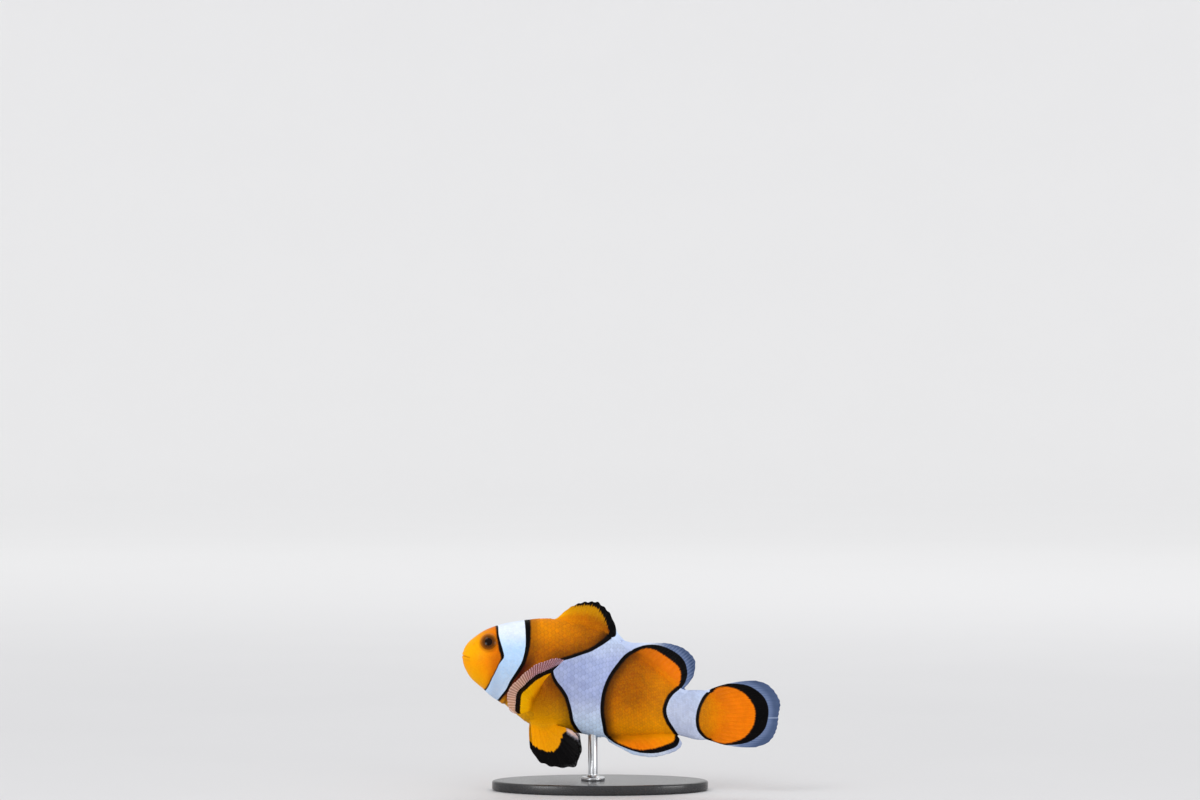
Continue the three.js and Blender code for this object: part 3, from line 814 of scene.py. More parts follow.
def skin_tones(u, z):
    """Values from 0 to 1 that shift the colours over the fish: see ATTRIBUTES."""
    beyond = np.maximum(z - back(u), belly(u) - z)
    low = fade(z, 17, 27)
    front = within(u, 7.5, 11, 26, 38)
    face = fade(u, 7.5, 10.5)
    snout = fade(u, 1, 9)
    chin = fade(u, 4, 9) * fade(z, 26, 33)
    tail = smooth(u, 55, 61)
    tail_end = smooth(u, 60, 70)
    throat = fade(u, 13, 18) * fade(z, 20, 25)
    nape = smooth(z, 33, 42) * within(u, 12, 17, 21, 34)
    rear = within(u, 34, 40, 55, 58)
    rear_low = rear * fade(z, 14, 25)
    rear_end = rear * smooth(u, 44, 54)
    on_fin = smooth(beyond, -3, 3) * smooth(u, 36, 42)

    yellow = 0.4 * low * front + 0.25 * throat + snout * (0.42 + 0.2 * smooth(z, 32, 35)) + 0.2 * nape
    yellow += 0.3 * chin + 0.25 * rear_low + 0.18 * rear_end - 0.25 * on_fin + 0.04
    yellow += tail * (0.2 * (1 - tail_end) - 0.04)
    # Brighter orange on the face and the nape; and painted light on the lower rear, the rear end,
    # the tail and the fins, as if lit from below and through the thin fins.
    glow = 0.82 * face + 0.6 * nape + 0.5 * rear_low + 0.5 * rear_end
    glow += tail * (0.25 + 0.47 * tail_end) + on_fin * (1 - tail) * np.where(z < 20, 0.4, 0.3)

    bar = fade(u, 16, 20) * (1 - smooth(z, 35, 41) * fade(u, 18, 30))
    middle = within(z, 15, 25, 31, 42)
    flank = within(u, 18, 24, 42, 50)
    stalk = smooth(u, 50, 54)
    blue = (0.55 + 0.25 * smooth(z, 24, 32)) * bar + 0.45 * flank * (1 - middle)
    blue += 0.2 * stalk * smooth(z, 20, 25)
    # Painted shade on the white bars: a darker lilac, mostly across the middle bar's middle and on the
    # stalk.
    lilac = (0.1 * smooth(z, 34, 40) + 0.85 * middle) * flank + 0.45 * stalk

    # Also a little darker on the top of the face, on the tail's stalk and across the front flank.
    # Painted shade, toward a dusky red-brown: a strip behind the head's bar, under the gill cover and
    # the pectoral's base; the cheek next to the bar; the upper rear, which gets less light than below.
    dusk = 0.95 * within(u - BAR_REAR(z), 0.2, 0.8, 1.5, 4.6) * within(z, 22.5, 25, 31, 35)
    dusk += 0.3 * face * smooth(u, 5.2, 8) * fade(z, 33, 38) + 0.14 * face * smooth(z, 38, 41)
    dusk += 0.2 * stalk * fade(u, 58, 61) * (1 - on_fin) + 0.1 * rear * smooth(z, 26, 33)
    dusk += 0.12 * within(u, 15, 20, 27, 36) * fade(np.abs(z - 29), 6, 12)

    soft = 0.6 * within(u, 12, 17, 46, 54) + 0.4 * within(u, 31, 36, 40, 46)
    soft *= 1 - smooth(beyond, -1, 1.5) * smooth(u, 37, 40)
    tones = {"yellow": yellow, "glow": glow, "blue": blue, "lilac": lilac, "dusk": dusk, "soft": soft}
    return {name: np.clip(value, 0, 1) for name, value in tones.items()}


def repaint(tones, share, **values):
    """Moves some tones a share of the way to other values."""
    for name, value in values.items():
        tones[name] = lerp(tones[name], value, share)


def columns(u, **values):
    """The values of all ATTRIBUTES as columns, 0 where none is given."""
    none = np.zeros(u.shape)
    return np.stack([none + values.get(name, 0) for name in ATTRIBUTES], axis=-1)


def body_values(u, n, z):
    """The marking values at places on the body."""
    black, orange = markings.at(u, z)
    points = place(u, n, z)
    halo = 0
    for side in (1, -1):
        along, radial = eye_distances(points, side)
        halo = halo + 0.5 * fade(radial, 1.9, 3) * smooth(along, -2.5, -1)
    tones = skin_tones(u, z)
    line, in_mouth = mouth_line(u, z)
    from_edge, free = behind_gill_cover(points)
    # Painted shadow in the mouth's groove and just behind the gill cover's free rear edge.
    shadow = 0.35 * in_mouth * bump_at(line, 0.14) + 0.55 * free * bump_at(from_edge - 0.2, 0.3)
    tones["dusk"] = np.clip(tones["dusk"] + shadow, 0, 1)
    return columns(u, black=black, orange=orange, halo=halo, **tones)


STREAKS = {"spiny": 0.5, "soft": 0.14, "anal": 0.12, "caudal": 0.12}  # height of the jags of orange
TAIL_LINE = 0.545  # the share of the tail fin's rays at which one pale ray crosses the clear rim


def streaks(a, count):
    """Uneven values from -1 to 1 that follow the rays of a fin."""
    wave = np.sin(2 * np.pi * count * a + 1.3) + np.sin(2 * np.pi * count * 1.63 * a + 4.1)
    return 0.5 * wave * (0.65 + 0.35 * np.sin(2 * np.pi * count * 0.31 * a))


def fin_values(fin):
    """The marking values on a fin."""
    u, z, a, b = fin["u"], fin["z"], fin["a"], fin["b"]
    length, kind = fin["length"], fin["kind"]
    tones = skin_tones(u, z)
    tones["ray"] = fin["ray"] * smooth(b, 0.1, 0.5)
    if kind == "pectoral":
        black = (b - PECTORAL_BLACK(a)) * length
        orange = (b - PECTORAL_ORANGE(a)) * length + 0.18 * streaks(a, 30)
        # The pectoral's blade is painted golden and fully bright: painted light, as if lit through from
        # above.
        golden = 0.6 + 0.3 * smooth(a, 0.2, 0.7)
        repaint(tones, smooth(b, 0.08, 0.4), yellow=golden, glow=1, dusk=0, soft=0)
        tones["pink"] = 1
        veil, clear = 1, 0.5
    elif kind == "pelvic":
        pale = smooth(a, 0.88, 0.97) * smooth(b, 0.6, 0.75)
        black = 0.16 * pale - 0.1
        orange = (b - PELVIC_ORANGE(a)) * length + 0.2 * streaks(a, 9)
        own, golden = smooth(b, 0.05, 0.35), lerp(0.45, 0.9, pale)
        repaint(tones, own, yellow=golden, glow=0.5, dusk=0.7 * pale, soft=0, blue=0, lilac=0)
        smoky = 0.35 * fade(fin["rim"], 0.2, 1.2) * smooth(a, 0.35, 0.7)
        tones |= {"clear": smoky, "veil": 0.8 * pale, "pink": 1}
        return columns(u, black=black, orange=orange, **tones)
    else:
        black, orange = markings.at(u, z)
        orange = orange + STREAKS[kind] * streaks(a, 26)
        veil = {"caudal": smooth(u, 66, 71), "soft": smooth(u, 46, 52), "anal": 0.35, "spiny": 0}[kind]
        clear = 0.07
        if kind == "caudal":
            tones["ray"] = tones["ray"] + 3 * bump_at(a - TAIL_LINE, 0.007) * smooth(b, 0.82, 0.86)
        elif kind == "spiny":
            tones["soft"] = 0.3
            tones["yellow"] = np.clip(tones["yellow"] + 0.35 * smooth(b, 0.3, 0.7), 0, 1)
    outside = smooth(black, -0.2, 0.3)
    return columns(u, black=black, orange=orange, veil=veil, clear=clear * veil * outside, **tones)


# ---- One skin from the body and the fins -------------------------------------------------------

SEAM = {"rounds": 50, "strength": 0.6, "full": 0.2, "reach": 2.4}
LEAST_CLEAR = 0.01  # a face clearer than this gets the see-through material


def smooth_seam(points, edges, on_fin):
    """Rounds the corner between body and fins."""
    seam = on_fin[edges[:, 0]] != on_fin[edges[:, 1]]
    tree = tree_of(points[np.unique(edges[seam])])
    away = np.array([tree.find(p)[2] for p in points])
    weight = SEAM["strength"] * fade(away, SEAM["full"], SEAM["reach"])
    moving = weight > 0
    near = moving[edges[:, 0]] | moving[edges[:, 1]]
    start, end = edges[near].T
    count = np.bincount(start, minlength=len(points)) + np.bincount(end, minlength=len(points))
    for _ in range(SEAM["rounds"]):
        total = np.zeros_like(points)
        for k in range(3):
            total[:, k] = np.bincount(start, points[end, k], len(points))
            total[:, k] += np.bincount(end, points[start, k], len(points))
        mean = total / np.maximum(count, 1)[:, None]
        points = np.where(moving[:, None], points + (mean - points) * weight[:, None], points)
    return points


def unite(body, other):
    """Joins another object into a body, and returns the mesh of both."""
    union = body.modifiers.new("union", "BOOLEAN")
    union.operation = "UNION"
    union.solver = "MANIFOLD"
    union.object = other
    graph = bpy.context.evaluated_depsgraph_get()
    whole = bpy.data.meshes.new_from_object(body.evaluated_get(graph))
    whole.materials.clear()
    body.modifiers.clear()
    body.data = whole
    bpy.data.objects.remove(other)
    return whole


def set_markings(mesh, values):
    """Adds all ATTRIBUTES from their columns."""
    for name, column in zip(ATTRIBUTES, values.T):
        set_attribute(mesh, name, column)


def make_skin():
    """Body and fins as one skin. It is joined in millimetres, where the union works best."""
    body_points, body_faces, body_u, body_n = body_skin()
    points, values, faces = [body_points], [body_values(body_u, body_n, body_points[:, 2])], []
    for fin in all_fins():
        faces.append(fin["faces"] + sum(map(len, points[1:])))
        points.append(fin["points"])
        values.append(fin_values(fin))
    body = make_object("clownfish_skin", body_points, body_faces, scale=1)
    whole = unite(body, make_object("fins", np.vstack(points[1:]), [np.vstack(faces)], scale=1))

    tree = tree_of(np.vstack(points))
    found = read(whole.vertices, "co", np.float32, 3).astype(float)
    nearest = np.array([tree.find(p)[1] for p in found])
    found = smooth_seam(found, read(whole.edges, "vertices", width=2), nearest >= len(body_points))

    whole.vertices.foreach_set("co", (found * METRE).astype(np.float32).ravel())
    set_markings(whole, np.vstack(values)[nearest])
    whole.update()
    whole.shade_smooth()
    return body


def assign_rims(mesh):
    """Gives the see-through material to the faces that light comes through."""
    clear = read(mesh.attributes["clear"].data, "value", np.float32)
    corners, starts = read(mesh.loops, "vertex_index"), read(mesh.polygons, "loop_start")
    most = np.maximum.reduceat(clear[corners], starts)
    mesh.polygons.foreach_set("material_index", (most > LEAST_CLEAR).astype(np.int32))
    mesh.update()


# ---- Scales ------------------------------------------------------------------------------------

SCALE_FIELDS = (  # first and last place along the fish, rows from back to belly, on the head or not
    (7.6, 18.5, 34, True),
    (8.5, 64.2, 25, False),
)
SCALE_SPACING = 0.74  # distance between columns, in heights of a row
SCALE_LENGTH = 1.2  # half a scale's length, in distances between columns
SCALE_WIDTH = 0.62  # half a scale's width, in heights of a row
SCALE_GRID = 5
SCALE_LEAST = 0.12  # a scale with less lift than this is left out
SCALE = {
    "taper": 0.12, "head_size": 0.7, "root": -0.045, "rise": 0.125, "sink": 0.06,
    "dome": 0.028, "thickness": 0.035,
}
LATERAL_LINE = {"row": 7, "end": 51, "height": 0.03, "width": 0.28}
GILL_MARGIN = {"head": -0.75, "trunk": 0.55}  # how far scales keep from the gill cover's edge
FINS_ON_BACK = (22, 57)
FIN_ON_BELLY = (34, 55)
PECTORAL_BARE = {"u": 18.3, "z": 23.5, "half_long": 1.7, "half_high": 4.2}
PELVIC_BARE = {"u": 19.5, "z": 16.5, "half_long": 3.6, "half_high": 2}


def disc(samples):
    """A square grid of points bent into a disc, and which of them lie on its rim."""
    line = np.linspace(-1, 1, samples + 1)
    x, y = np.meshgrid(line, line, indexing="ij")
    p = x * np.sqrt(1 - y * y / 2)
    q = y * np.sqrt(1 - x * x / 2)
    rim = (np.abs(x) == 1) | (np.abs(y) == 1)
    return p, q, rim


def scale_places(side):
    """Centre, half length, half width (a share of the girth), lift and row of each scale."""
    found = []
    for first, last, rows, on_head in SCALE_FIELDS:
        column, u, more = 0, first, True
        while more:
            height = girth.half(u) / rows
            for row in range(rows + 1):
                share = (row + 0.5 * (column % 2)) / rows
                if share > 1 or (side < 0 and share in (0, 1)):
                    continue
                n, z = on_body(u, share, side)
                lift = scale_lift(u, z, place(u, n, z), share, on_head)
                if lift > SCALE_LEAST:
                    half_long = SCALE_SPACING * SCALE_LENGTH * height
                    found.append((u, share, half_long, SCALE_WIDTH / rows, lift, on_head, row))
            more = u < last
            column, u = column + 1, u + SCALE_SPACING * height
    return np.array(found, float)


def from_oval(u, z, oval):
    """Distance from the middle of an oval, in its half sizes."""
    return math.hypot((u - oval["u"]) / oval["half_long"], (z - oval["z"]) / oval["half_high"])


def scale_lift(u, z, point, share, on_head):
    """0 where the skin is bare, 1 where the scales stand out fully."""
    from_gill = math.hypot(point[1] - GILL_ARC["y"], point[2] - GILL_ARC["z"]) - GILL_ARC["radius"]
    if from_gill > GILL_MARGIN["head"] if on_head else from_gill < GILL_MARGIN["trunk"]:
        return 0
    lift = 1
    if on_head:
        from_eye = math.hypot(u - EYE["u"], z - EYE["z"])
        lift = 0.6 * smooth(from_eye, 3.2, 4.6) * smooth(u, 7.2, 10.5) * smooth(z, 21.5, 25)
    lift *= smooth(from_oval(u, z, PECTORAL_BARE), 1, 1.35)
    lift *= smooth(from_oval(u, z, PELVIC_BARE), 1, 1.4)
    if FINS_ON_BACK[0] < u < FINS_ON_BACK[1]:
        lift *= smooth(share * girth.half(u), 0.7, 1.6)
    if FIN_ON_BELLY[0] < u < FIN_ON_BELLY[1]:
        lift *= smooth((1 - share) * girth.half(u), 0.7, 1.6)
    return lift * fade(u, 61.5, 64.5)


def skin_point(u, share, side, height):
    """Points at a height above the skin. A share under 0 or over 1 lies past the middle line."""
    du, ds = 0.05, 0.004

    def at(u_at, share_at):
        past = (share_at < 0) | (share_at > 1)
        folded = np.where(share_at > 1, 2 - share_at, np.abs(share_at))
        n, z = on_body(u_at, folded, np.where(past, -side, side))
        return place(u_at, n, z), n

    point, n = at(u, share)
    along = at(u + du, share)[0] - at(u - du, share)[0]
    down = at(u, share + ds)[0] - at(u, share - ds)[0]
    outward = unit(np.cross(along, down)) * -side
    height = height + relief(point, u) - SKIN_DEPTH
    return point + outward * height[..., None], n, point[..., 2]


def make_scales(name, side):
    """All scales of one side as one mesh of closed, overlapping plates."""
    p_grid, q_grid, rim_grid = disc(SCALE_GRID)
    p, q, rim = p_grid.ravel(), q_grid.ravel(), rim_grid.ravel()
    inner = np.flatnonzero(~rim)
    r2 = p * p + q * q
    scales = scale_places(side)
    u_at, share_at, half_long, half_wide, lift, on_head, row = scales.T[:, :, None]

    u = u_at + p * half_long
    share = share_at + q * (1 - SCALE["taper"] * np.maximum(-p, 0)) * half_wide
    size = np.where(on_head > 0, SCALE["head_size"], 1)
    level = lift * size * (SCALE["root"] + SCALE["rise"] * 0.5 * (p + 1)) - SCALE["sink"] * (1 - lift)
    lateral = (row == LATERAL_LINE["row"]) & (on_head == 0) & (u_at < LATERAL_LINE["end"])
    ridge = LATERAL_LINE["height"] * bump_at(q, LATERAL_LINE["width"]) * fade(np.abs(p), 0.5, 0.9)
    top = level + SCALE["dome"] * (1 - r2) + lateral * ridge
    under = (level - SCALE["thickness"])[:, inner]

    upper = skin_point(u, share, side, top)
    lower = skin_point(u[:, inner], share[:, inner], side, under)
    points, n, z = (np.concatenate(pair, axis=1) for pair in zip(upper, lower))

    ids = np.arange(len(p)).reshape(p_grid.shape)
    low_ids = ids.copy()
    low_ids[1:-1, 1:-1] = len(p) + np.arange(len(inner)).reshape(SCALE_GRID - 1, SCALE_GRID - 1)
    one = np.vstack([quads_of(ids), quads_of(low_ids)[:, ::-1]])[:, ::-side]
    per_scale = len(p) + len(inner)
    faces = (one[None] + (np.arange(len(scales)) * per_scale)[:, None, None]).reshape(-1, 4)
    made = make_object(name, points.reshape(-1, 3), [faces])

    both = np.concatenate([np.arange(len(p)), inner])
    # One disorderly number from 0 to 1 for each scale, the same in every run.
    tint = np.mod(np.sin(u_at * 91.7 + row * 12.9898) * 43758.5453, 1)
    set_markings(made.data, body_values(u[:, both].ravel(), n.ravel(), z.ravel()))
    set_attribute(made.data, "rim", (lift * r2[both]).ravel())
    set_attribute(made.data, "tint", np.repeat(lift * tint, per_scale))
    add_scale_maps(made.data, scales, side, np.column_stack([p, q])[both])
    mark_rims(made.data, np.concatenate([rim, np.zeros(len(inner), bool)]))
    return made


BAKE = {"patch": 0.003, "start": 0.02, "long": 0.95, "seam": 0.01, "wide": 0.48}


def add_scale_maps(mesh, scales, side, local):
    """OFBake: each scale is a small patch at its root's place on an unwrap of the body."""
    root_u = BAKE["start"] + BAKE["long"] * (scales[:, 0] - scales[:, 2]) / FLESH_LENGTH
    across = 0.5 + side * (BAKE["seam"] + BAKE["wide"] * scales[:, 1])
    patch = 0.5 * BAKE["patch"] * local[None] + np.stack([root_u, across], axis=-1)[:, None]
    by_point = {"OFBake": patch.reshape(-1, 2), "scale": np.tile(0.5 + 0.5 * local, (len(scales), 1))}
    corners = read(mesh.loops, "vertex_index")
    for name, values in by_point.items():
        layer = mesh.uv_layers.new(name=name)
        layer.data.foreach_set("uv", values[corners].astype(np.float32).ravel())


def mark_rims(mesh, rim):
    """Keeps the rim of every scale crisp."""
    start, end = read(mesh.edges, "vertices", width=2).T % len(rim)
    sharp = mesh.attributes.new("sharp_edge", "BOOLEAN", "EDGE")
    sharp.data.foreach_set("value", rim[start] & rim[end])


# ---- Eyes --------------------------------------------------------------------------------------

EYE_RINGS = 44
EYE_SIDES = 72


def make_eye(name, side):
    """An eyeball: a flattened ball with a slightly domed cornea."""
    centre, out, forward, up = eye_frame(side)
    tilt = np.linspace(0, np.pi, EYE_RINGS + 1)[1:-1]
    turn = turns(EYE_SIDES)
    radial = EYE["radius"] * np.sin(tilt)
    depth = EYE["depth"] * np.cos(tilt)
    ring = radial[:, None, None] * (np.cos(turn)[:, None] * forward + np.sin(turn)[:, None] * up)
    rings = centre + ring + depth[:, None, None] * out
    made = make_object(name, *capped(rings, centre + EYE["depth"] * out, centre - EYE["depth"] * out))
    away = np.concatenate([np.repeat(radial, EYE_SIDES), [0, 0]])
    angle = np.concatenate([np.tile(turn, len(tilt)), [0, 0]])
    set_attribute(made.data, "away", away)
    set_attribute(made.data, "fibre", np.sin(angle * 23 + 2 * np.sin(angle * 5)))
    return made


# ---- The stand ---------------------------------------------------------------------------------

STAND_SIDES = 160


def lathe(name, profile, stretch=1.0, y=0.0):
    """A closed turned piece round a vertical axis, stretched along Y."""
    rings = turned(profile[1:-1], STAND_SIDES) * (1, stretch, 1) + (0, y, 0)
    return make_object(name, *capped(rings, (0, y, profile[0][1]), (0, y, profile[-1][1])))


def turned(profile, sides):
    """Rings round a vertical axis through (radius, z) points."""
    radius, z = np.array(profile, float).T[:, :, None]
    turn = turns(sides)
    return np.stack(np.broadcast_arrays(radius * np.cos(turn), radius * np.sin(turn), z), axis=-1)


def arc(centre, radius, start, end, steps=6):
    """Points of an arc from one angle in degrees to another."""
    angles = np.radians(np.linspace(start, end, steps + 1))
    return [(centre[0] + radius * math.cos(a), centre[1] + radius * math.sin(a)) for a in angles]


def make_base():
    """The oval base plate, with rounded edges."""
    half, height, chamfer = BASE["width"] / 2, BASE["height"], BASE["chamfer"]
    inside = half - chamfer
    profile = [
        (0, 0), (inside * 0.98, 0), *arc((inside, chamfer), chamfer, -90, 0),
        *arc((inside, height - chamfer), chamfer, 0, 90), (inside * 0.98, height), (0, height),
    ]
    return lathe("base_plate", profile, stretch=BASE["length"] / BASE["width"])


def make_rod():
    """The rod and the flange at its foot."""
    floor, radius, flange, fillet = BASE["height"], ROD["radius"], ROD["flange"], ROD["fillet"]
    step = floor + ROD["flange_height"]
    bevel, crisp = 0.25, 0.02  # crisp is how close a line of points keeps to a sharp edge
    profile = [
        (0, floor), (flange - crisp, floor), (flange, floor + crisp), (flange, step - bevel - crisp),
        *arc((flange - bevel, step - bevel), bevel, 0, 90), (radius + fillet + crisp, step),
        *reversed(arc((radius + fillet, step + fillet), fillet, 180, 270)), (radius, step + fillet + 0.05),
        (radius, ROD["top"] - crisp), (radius - crisp, ROD["top"]), (0, ROD["top"]),
    ]
    return lathe("rod_and_foot", profile, y=ROD["y"])


# ---- Materials ---------------------------------------------------------------------------------


def srgb(red, green, blue):
    """A colour given in screen values from 0 to 255, as linear light."""

    def linear(value):
        value /= 255
        return value / 12.92 if value <= 0.04045 else ((value + 0.055) / 1.055) ** 2.4

    return (linear(red), linear(green), linear(blue), 1.0)


class Material:
    """A node material, built from small steps."""

    def __init__(self, name):
        self.data = bpy.data.materials.new(name)
        self.data.use_nodes = True
        self.nodes = self.data.node_tree.nodes
        self.links = self.data.node_tree.links
        self.shader = self.nodes["Principled BSDF"]
        self.where = self.nodes.new("ShaderNodeTexCoord").outputs["Object"]

    def put(self, value, socket):
        """Links another node's output to a socket, or sets the socket's own value."""
        if isinstance(value, bpy.types.NodeSocket):
            self.links.new(value, socket)
        else:
            socket.default_value = value

    def attribute(self, name):
        """A number that the mesh carries at its points."""
        node = self.nodes.new("ShaderNodeAttribute")
        node.attribute_name = name
        return node.outputs["Fac"]

    def math(self, operation, *values):
        """The result of one math node."""
        node = self.nodes.new("ShaderNodeMath")
        node.operation = operation
        for value, socket in zip(values, node.inputs):
            self.put(value, socket)
        return node.outputs[0]

    def add(self, first, second):
        """A sum."""
        return self.math("ADD", first, second)

    def less(self, first, second):
        """A difference."""
        return self.math("SUBTRACT", first, second)

    def times(self, first, second):
        """A product."""
        return self.math("MULTIPLY", first, second)

    def ramp(self, value, low, high, start=0.0, end=1.0):
        """start below low, end above high, and an even S between them."""
        node = self.nodes.new("ShaderNodeMapRange")
        node.interpolation_type = "SMOOTHSTEP"
        for amount, socket in zip((value, low, high, start, end), node.inputs):
            self.put(amount, socket)
        return node.outputs["Result"]

    def mix(self, first, second, share):
        """A colour between two others."""
        node = self.nodes.new("ShaderNodeMix")
        node.data_type = "RGBA"
        self.put(share, node.inputs["Factor"])
        colour_sockets = [socket for socket in node.inputs if socket.type == "RGBA"]
        self.put(first, colour_sockets[0])
        self.put(second, colour_sockets[1])
        return next(socket for socket in node.outputs if socket.type == "RGBA")

    def blend(self, first, second, share):
        """A number between two others."""
        return self.add(first, self.times(self.less(second, first), share))

    def noise(self, size, detail=3):
        """Noise whose patches are about size millimetres across, from 0 to 1."""
        node = self.nodes.new("ShaderNodeTexNoise")
        self.links.new(self.where, node.inputs["Vector"])
        node.inputs["Scale"].default_value = 1 / (size * METRE)
        node.inputs["Detail"].default_value = detail
        node.inputs["Roughness"].default_value = 0.5
        return node.outputs["Fac"]

    def bump(self, height, distance):
        """Bump of a height from 0 to 1, distance millimetres deep."""
        node = self.nodes.new("ShaderNodeBump")
        node.inputs["Strength"].default_value = 1
        node.inputs["Distance"].default_value = distance * METRE
        self.links.new(height, node.inputs["Height"])
        self.links.new(node.outputs["Normal"], self.shader.inputs["Normal"])

    def set(self, **values):
        """Sets inputs of the shader, by their names in small letters."""
        for name, value in values.items():
            self.put(value, self.shader.inputs[name.replace("_", " ").title().replace("Ior", "IOR")])


FLANK = srgb(162, 84, 1)
BRIGHT = srgb(248, 124, 1)
YELLOW = srgb(254, 192, 1)
# A dusky red-brown, for painted shade and for the fins' own dusky parts.
DUSKY_SHADE = srgb(84, 27, 12)
HALO = srgb(104, 56, 3)
BLACK = srgb(4, 3, 4)
BROWN_BLACK = srgb(28, 16, 4)
WHITE = srgb(227, 236, 251)
BLUE = srgb(168, 210, 253)
LILAC_SHADE = srgb(150, 164, 212)
RIM_NEAR = srgb(88, 106, 144)
RIM_FAR = srgb(48, 68, 106)
RIM_RAY = srgb(180, 194, 222)
MAUVE = srgb(150, 98, 112)
MAUVE_RAY = srgb(222, 186, 194)
BEIGE = srgb(246, 204, 170)
SHADE = srgb(34, 27, 28)
PUPIL = srgb(20, 6, 2)
IRIS_RING = srgb(120, 64, 4)
IRIS = (  # colours from the pupil outward, each with the two distances it starts and ends to turn at
    (srgb(104, 56, 3), 1, 1.5),
    (srgb(150, 84, 2), 1.4, 1.9),
    (srgb(206, 112, 2), 1.8, 2.25),
)


def skin_colour(m):
    """Orange, black and white from the marking values that the mesh carries."""
    fine, broad = m.noise(0.35), m.noise(2.2)

    def mottled(name, pattern, by):
        """A marking value, made a little uneven."""
        return m.add(m.attribute(name), m.ramp(pattern, 0.3, 0.7, -by, by))

    wobble = m.times(m.less(m.noise(0.8), 0.5), 0.3)
    inside = m.times(m.add(m.attribute("orange"), wobble), -1)
    black_edge = m.add(m.attribute("black"), m.times(wobble, 0.3))
    ray = m.attribute("ray")

    # Toward bright orange: on the face and nape, and as painted light on the lower rear, tail and fins.
    orange = m.mix(FLANK, BRIGHT, mottled("glow", broad, 0.08))
    orange = m.mix(orange, YELLOW, mottled("yellow", fine, 0.07))
    # Painted shade, and a little dusk along the fins' rays.
    orange = m.mix(orange, DUSKY_SHADE, m.add(m.attribute("dusk"), m.times(ray, 0.05)))
    orange = m.mix(orange, HALO, m.attribute("halo"))

    gradual = m.add(m.ramp(inside, -0.1, 0.5, 0, 0.25), m.ramp(inside, 0.2, 3.2, 0, 0.75))
    light = m.blend(m.ramp(inside, -0.12, 0.34), gradual, m.attribute("soft"))
    dark = m.mix(BLACK, BROWN_BLACK, m.ramp(inside, -0.3, 0.3))
    colour = m.mix(dark, orange, light)

    white = m.mix(WHITE, BLUE, mottled("blue", fine, 0.1))
    # The white bars' painted shade, in lilac.
    white = m.mix(white, LILAC_SHADE, mottled("lilac", broad, 0.05))
    # Painted shade on the white too, half as strong, and the pelvic fins' smoky tips.
    white = m.mix(white, DUSKY_SHADE, m.times(m.attribute("dusk"), 0.5))
    rim = m.mix(RIM_NEAR, RIM_FAR, m.ramp(black_edge, 0.3, 1.7))
    rim = m.mix(rim, RIM_RAY, m.times(ray, 0.16))
    # The paired fins' clear rims are mauve, partly painted: the red body and its shade seen through them.
    pink = m.mix(MAUVE, MAUVE_RAY, m.times(ray, 0.9))
    pink = m.mix(pink, BEIGE, m.ramp(m.attribute("yellow"), 0.66, 0.9, 0, 0.6))
    rim = m.mix(rim, pink, m.attribute("pink"))
    white = m.mix(white, rim, m.attribute("veil"))
    return m.mix(colour, white, m.ramp(black_edge, -0.08, 0.08)), fine


def skin_material(name, see_through=False, scaled=False):
    """Moist skin. Its scales differ a little, and their rims are darker."""
    m = Material(name)
    colour, fine = skin_colour(m)
    if scaled:
        colour = m.mix(colour, SHADE, m.ramp(m.attribute("tint"), 0, 1, 0, 0.12))
        colour = m.mix(colour, SHADE, m.ramp(m.attribute("rim"), 0.5, 1, 0, 0.18))
    m.set(base_color=colour, roughness=m.ramp(fine, 0.2, 0.8, 0.4, 0.54))
    m.set(specular_ior_level=0.04, coat_weight=0.02, coat_roughness=0.22)
    if see_through:
        dense = m.ramp(m.attribute("ray"), 0, 1, 1, 0.25)
        m.set(alpha=m.less(1, m.times(m.attribute("clear"), dense)))
    m.bump(m.noise(0.12, detail=2), 0.01)
    return m.data


def eye_material():
    """A wet eye: black pupil, thin bright ring, and an iris that pales outward."""
    m = Material("eye")
    away = m.add(m.attribute("away"), m.times(m.attribute("fibre"), 0.03))
    iris = srgb(64, 31, 2)
    for colour, start, end in IRIS:
        iris = m.mix(iris, colour, m.ramp(away, start, end))
    ring = m.times(m.ramp(away, 0.96, 1.02), m.ramp(away, 1.06, 1.18, 1, 0))
    iris = m.mix(iris, IRIS_RING, m.times(ring, 0.45))
    colour = m.mix(PUPIL, iris, m.ramp(away, 0.88, 1))
    m.set(base_color=colour, roughness=m.ramp(m.noise(0.3), 0.3, 0.7, 0.1, 0.14))
    m.set(specular_ior_level=0.03, coat_weight=0.16, coat_roughness=0.03)
    return m.data


def acrylic_material():
    """Satin black acrylic."""
    m = Material("black_acrylic")
    grain = m.noise(0.25, detail=4)
    m.set(base_color=m.mix(srgb(20, 20, 22), srgb(30, 30, 33), m.noise(6)))
    m.set(roughness=m.ramp(grain, 0.25, 0.75, 0.24, 0.34), coat_weight=0.3, coat_roughness=0.12)
    m.bump(grain, 0.004)
    return m.data


def steel_material():
    """Stainless steel brushed round the rod."""
    m = Material("brushed_steel")
    stretch = m.nodes.new("ShaderNodeMapping")
    stretch.inputs["Scale"].default_value = (60, 60, 9000)
    m.links.new(m.where, stretch.inputs["Vector"])
    brushed = m.nodes.new("ShaderNodeTexNoise")
    brushed.inputs["Scale"].default_value = 1
    m.links.new(stretch.outputs[0], brushed.inputs["Vector"])
    lines = brushed.outputs["Fac"]
    m.set(base_color=m.mix(srgb(192, 194, 197), srgb(206, 208, 211), lines), metallic=1.0)
    m.set(roughness=m.ramp(lines, 0.3, 0.7, 0.27, 0.33))
    return m.data


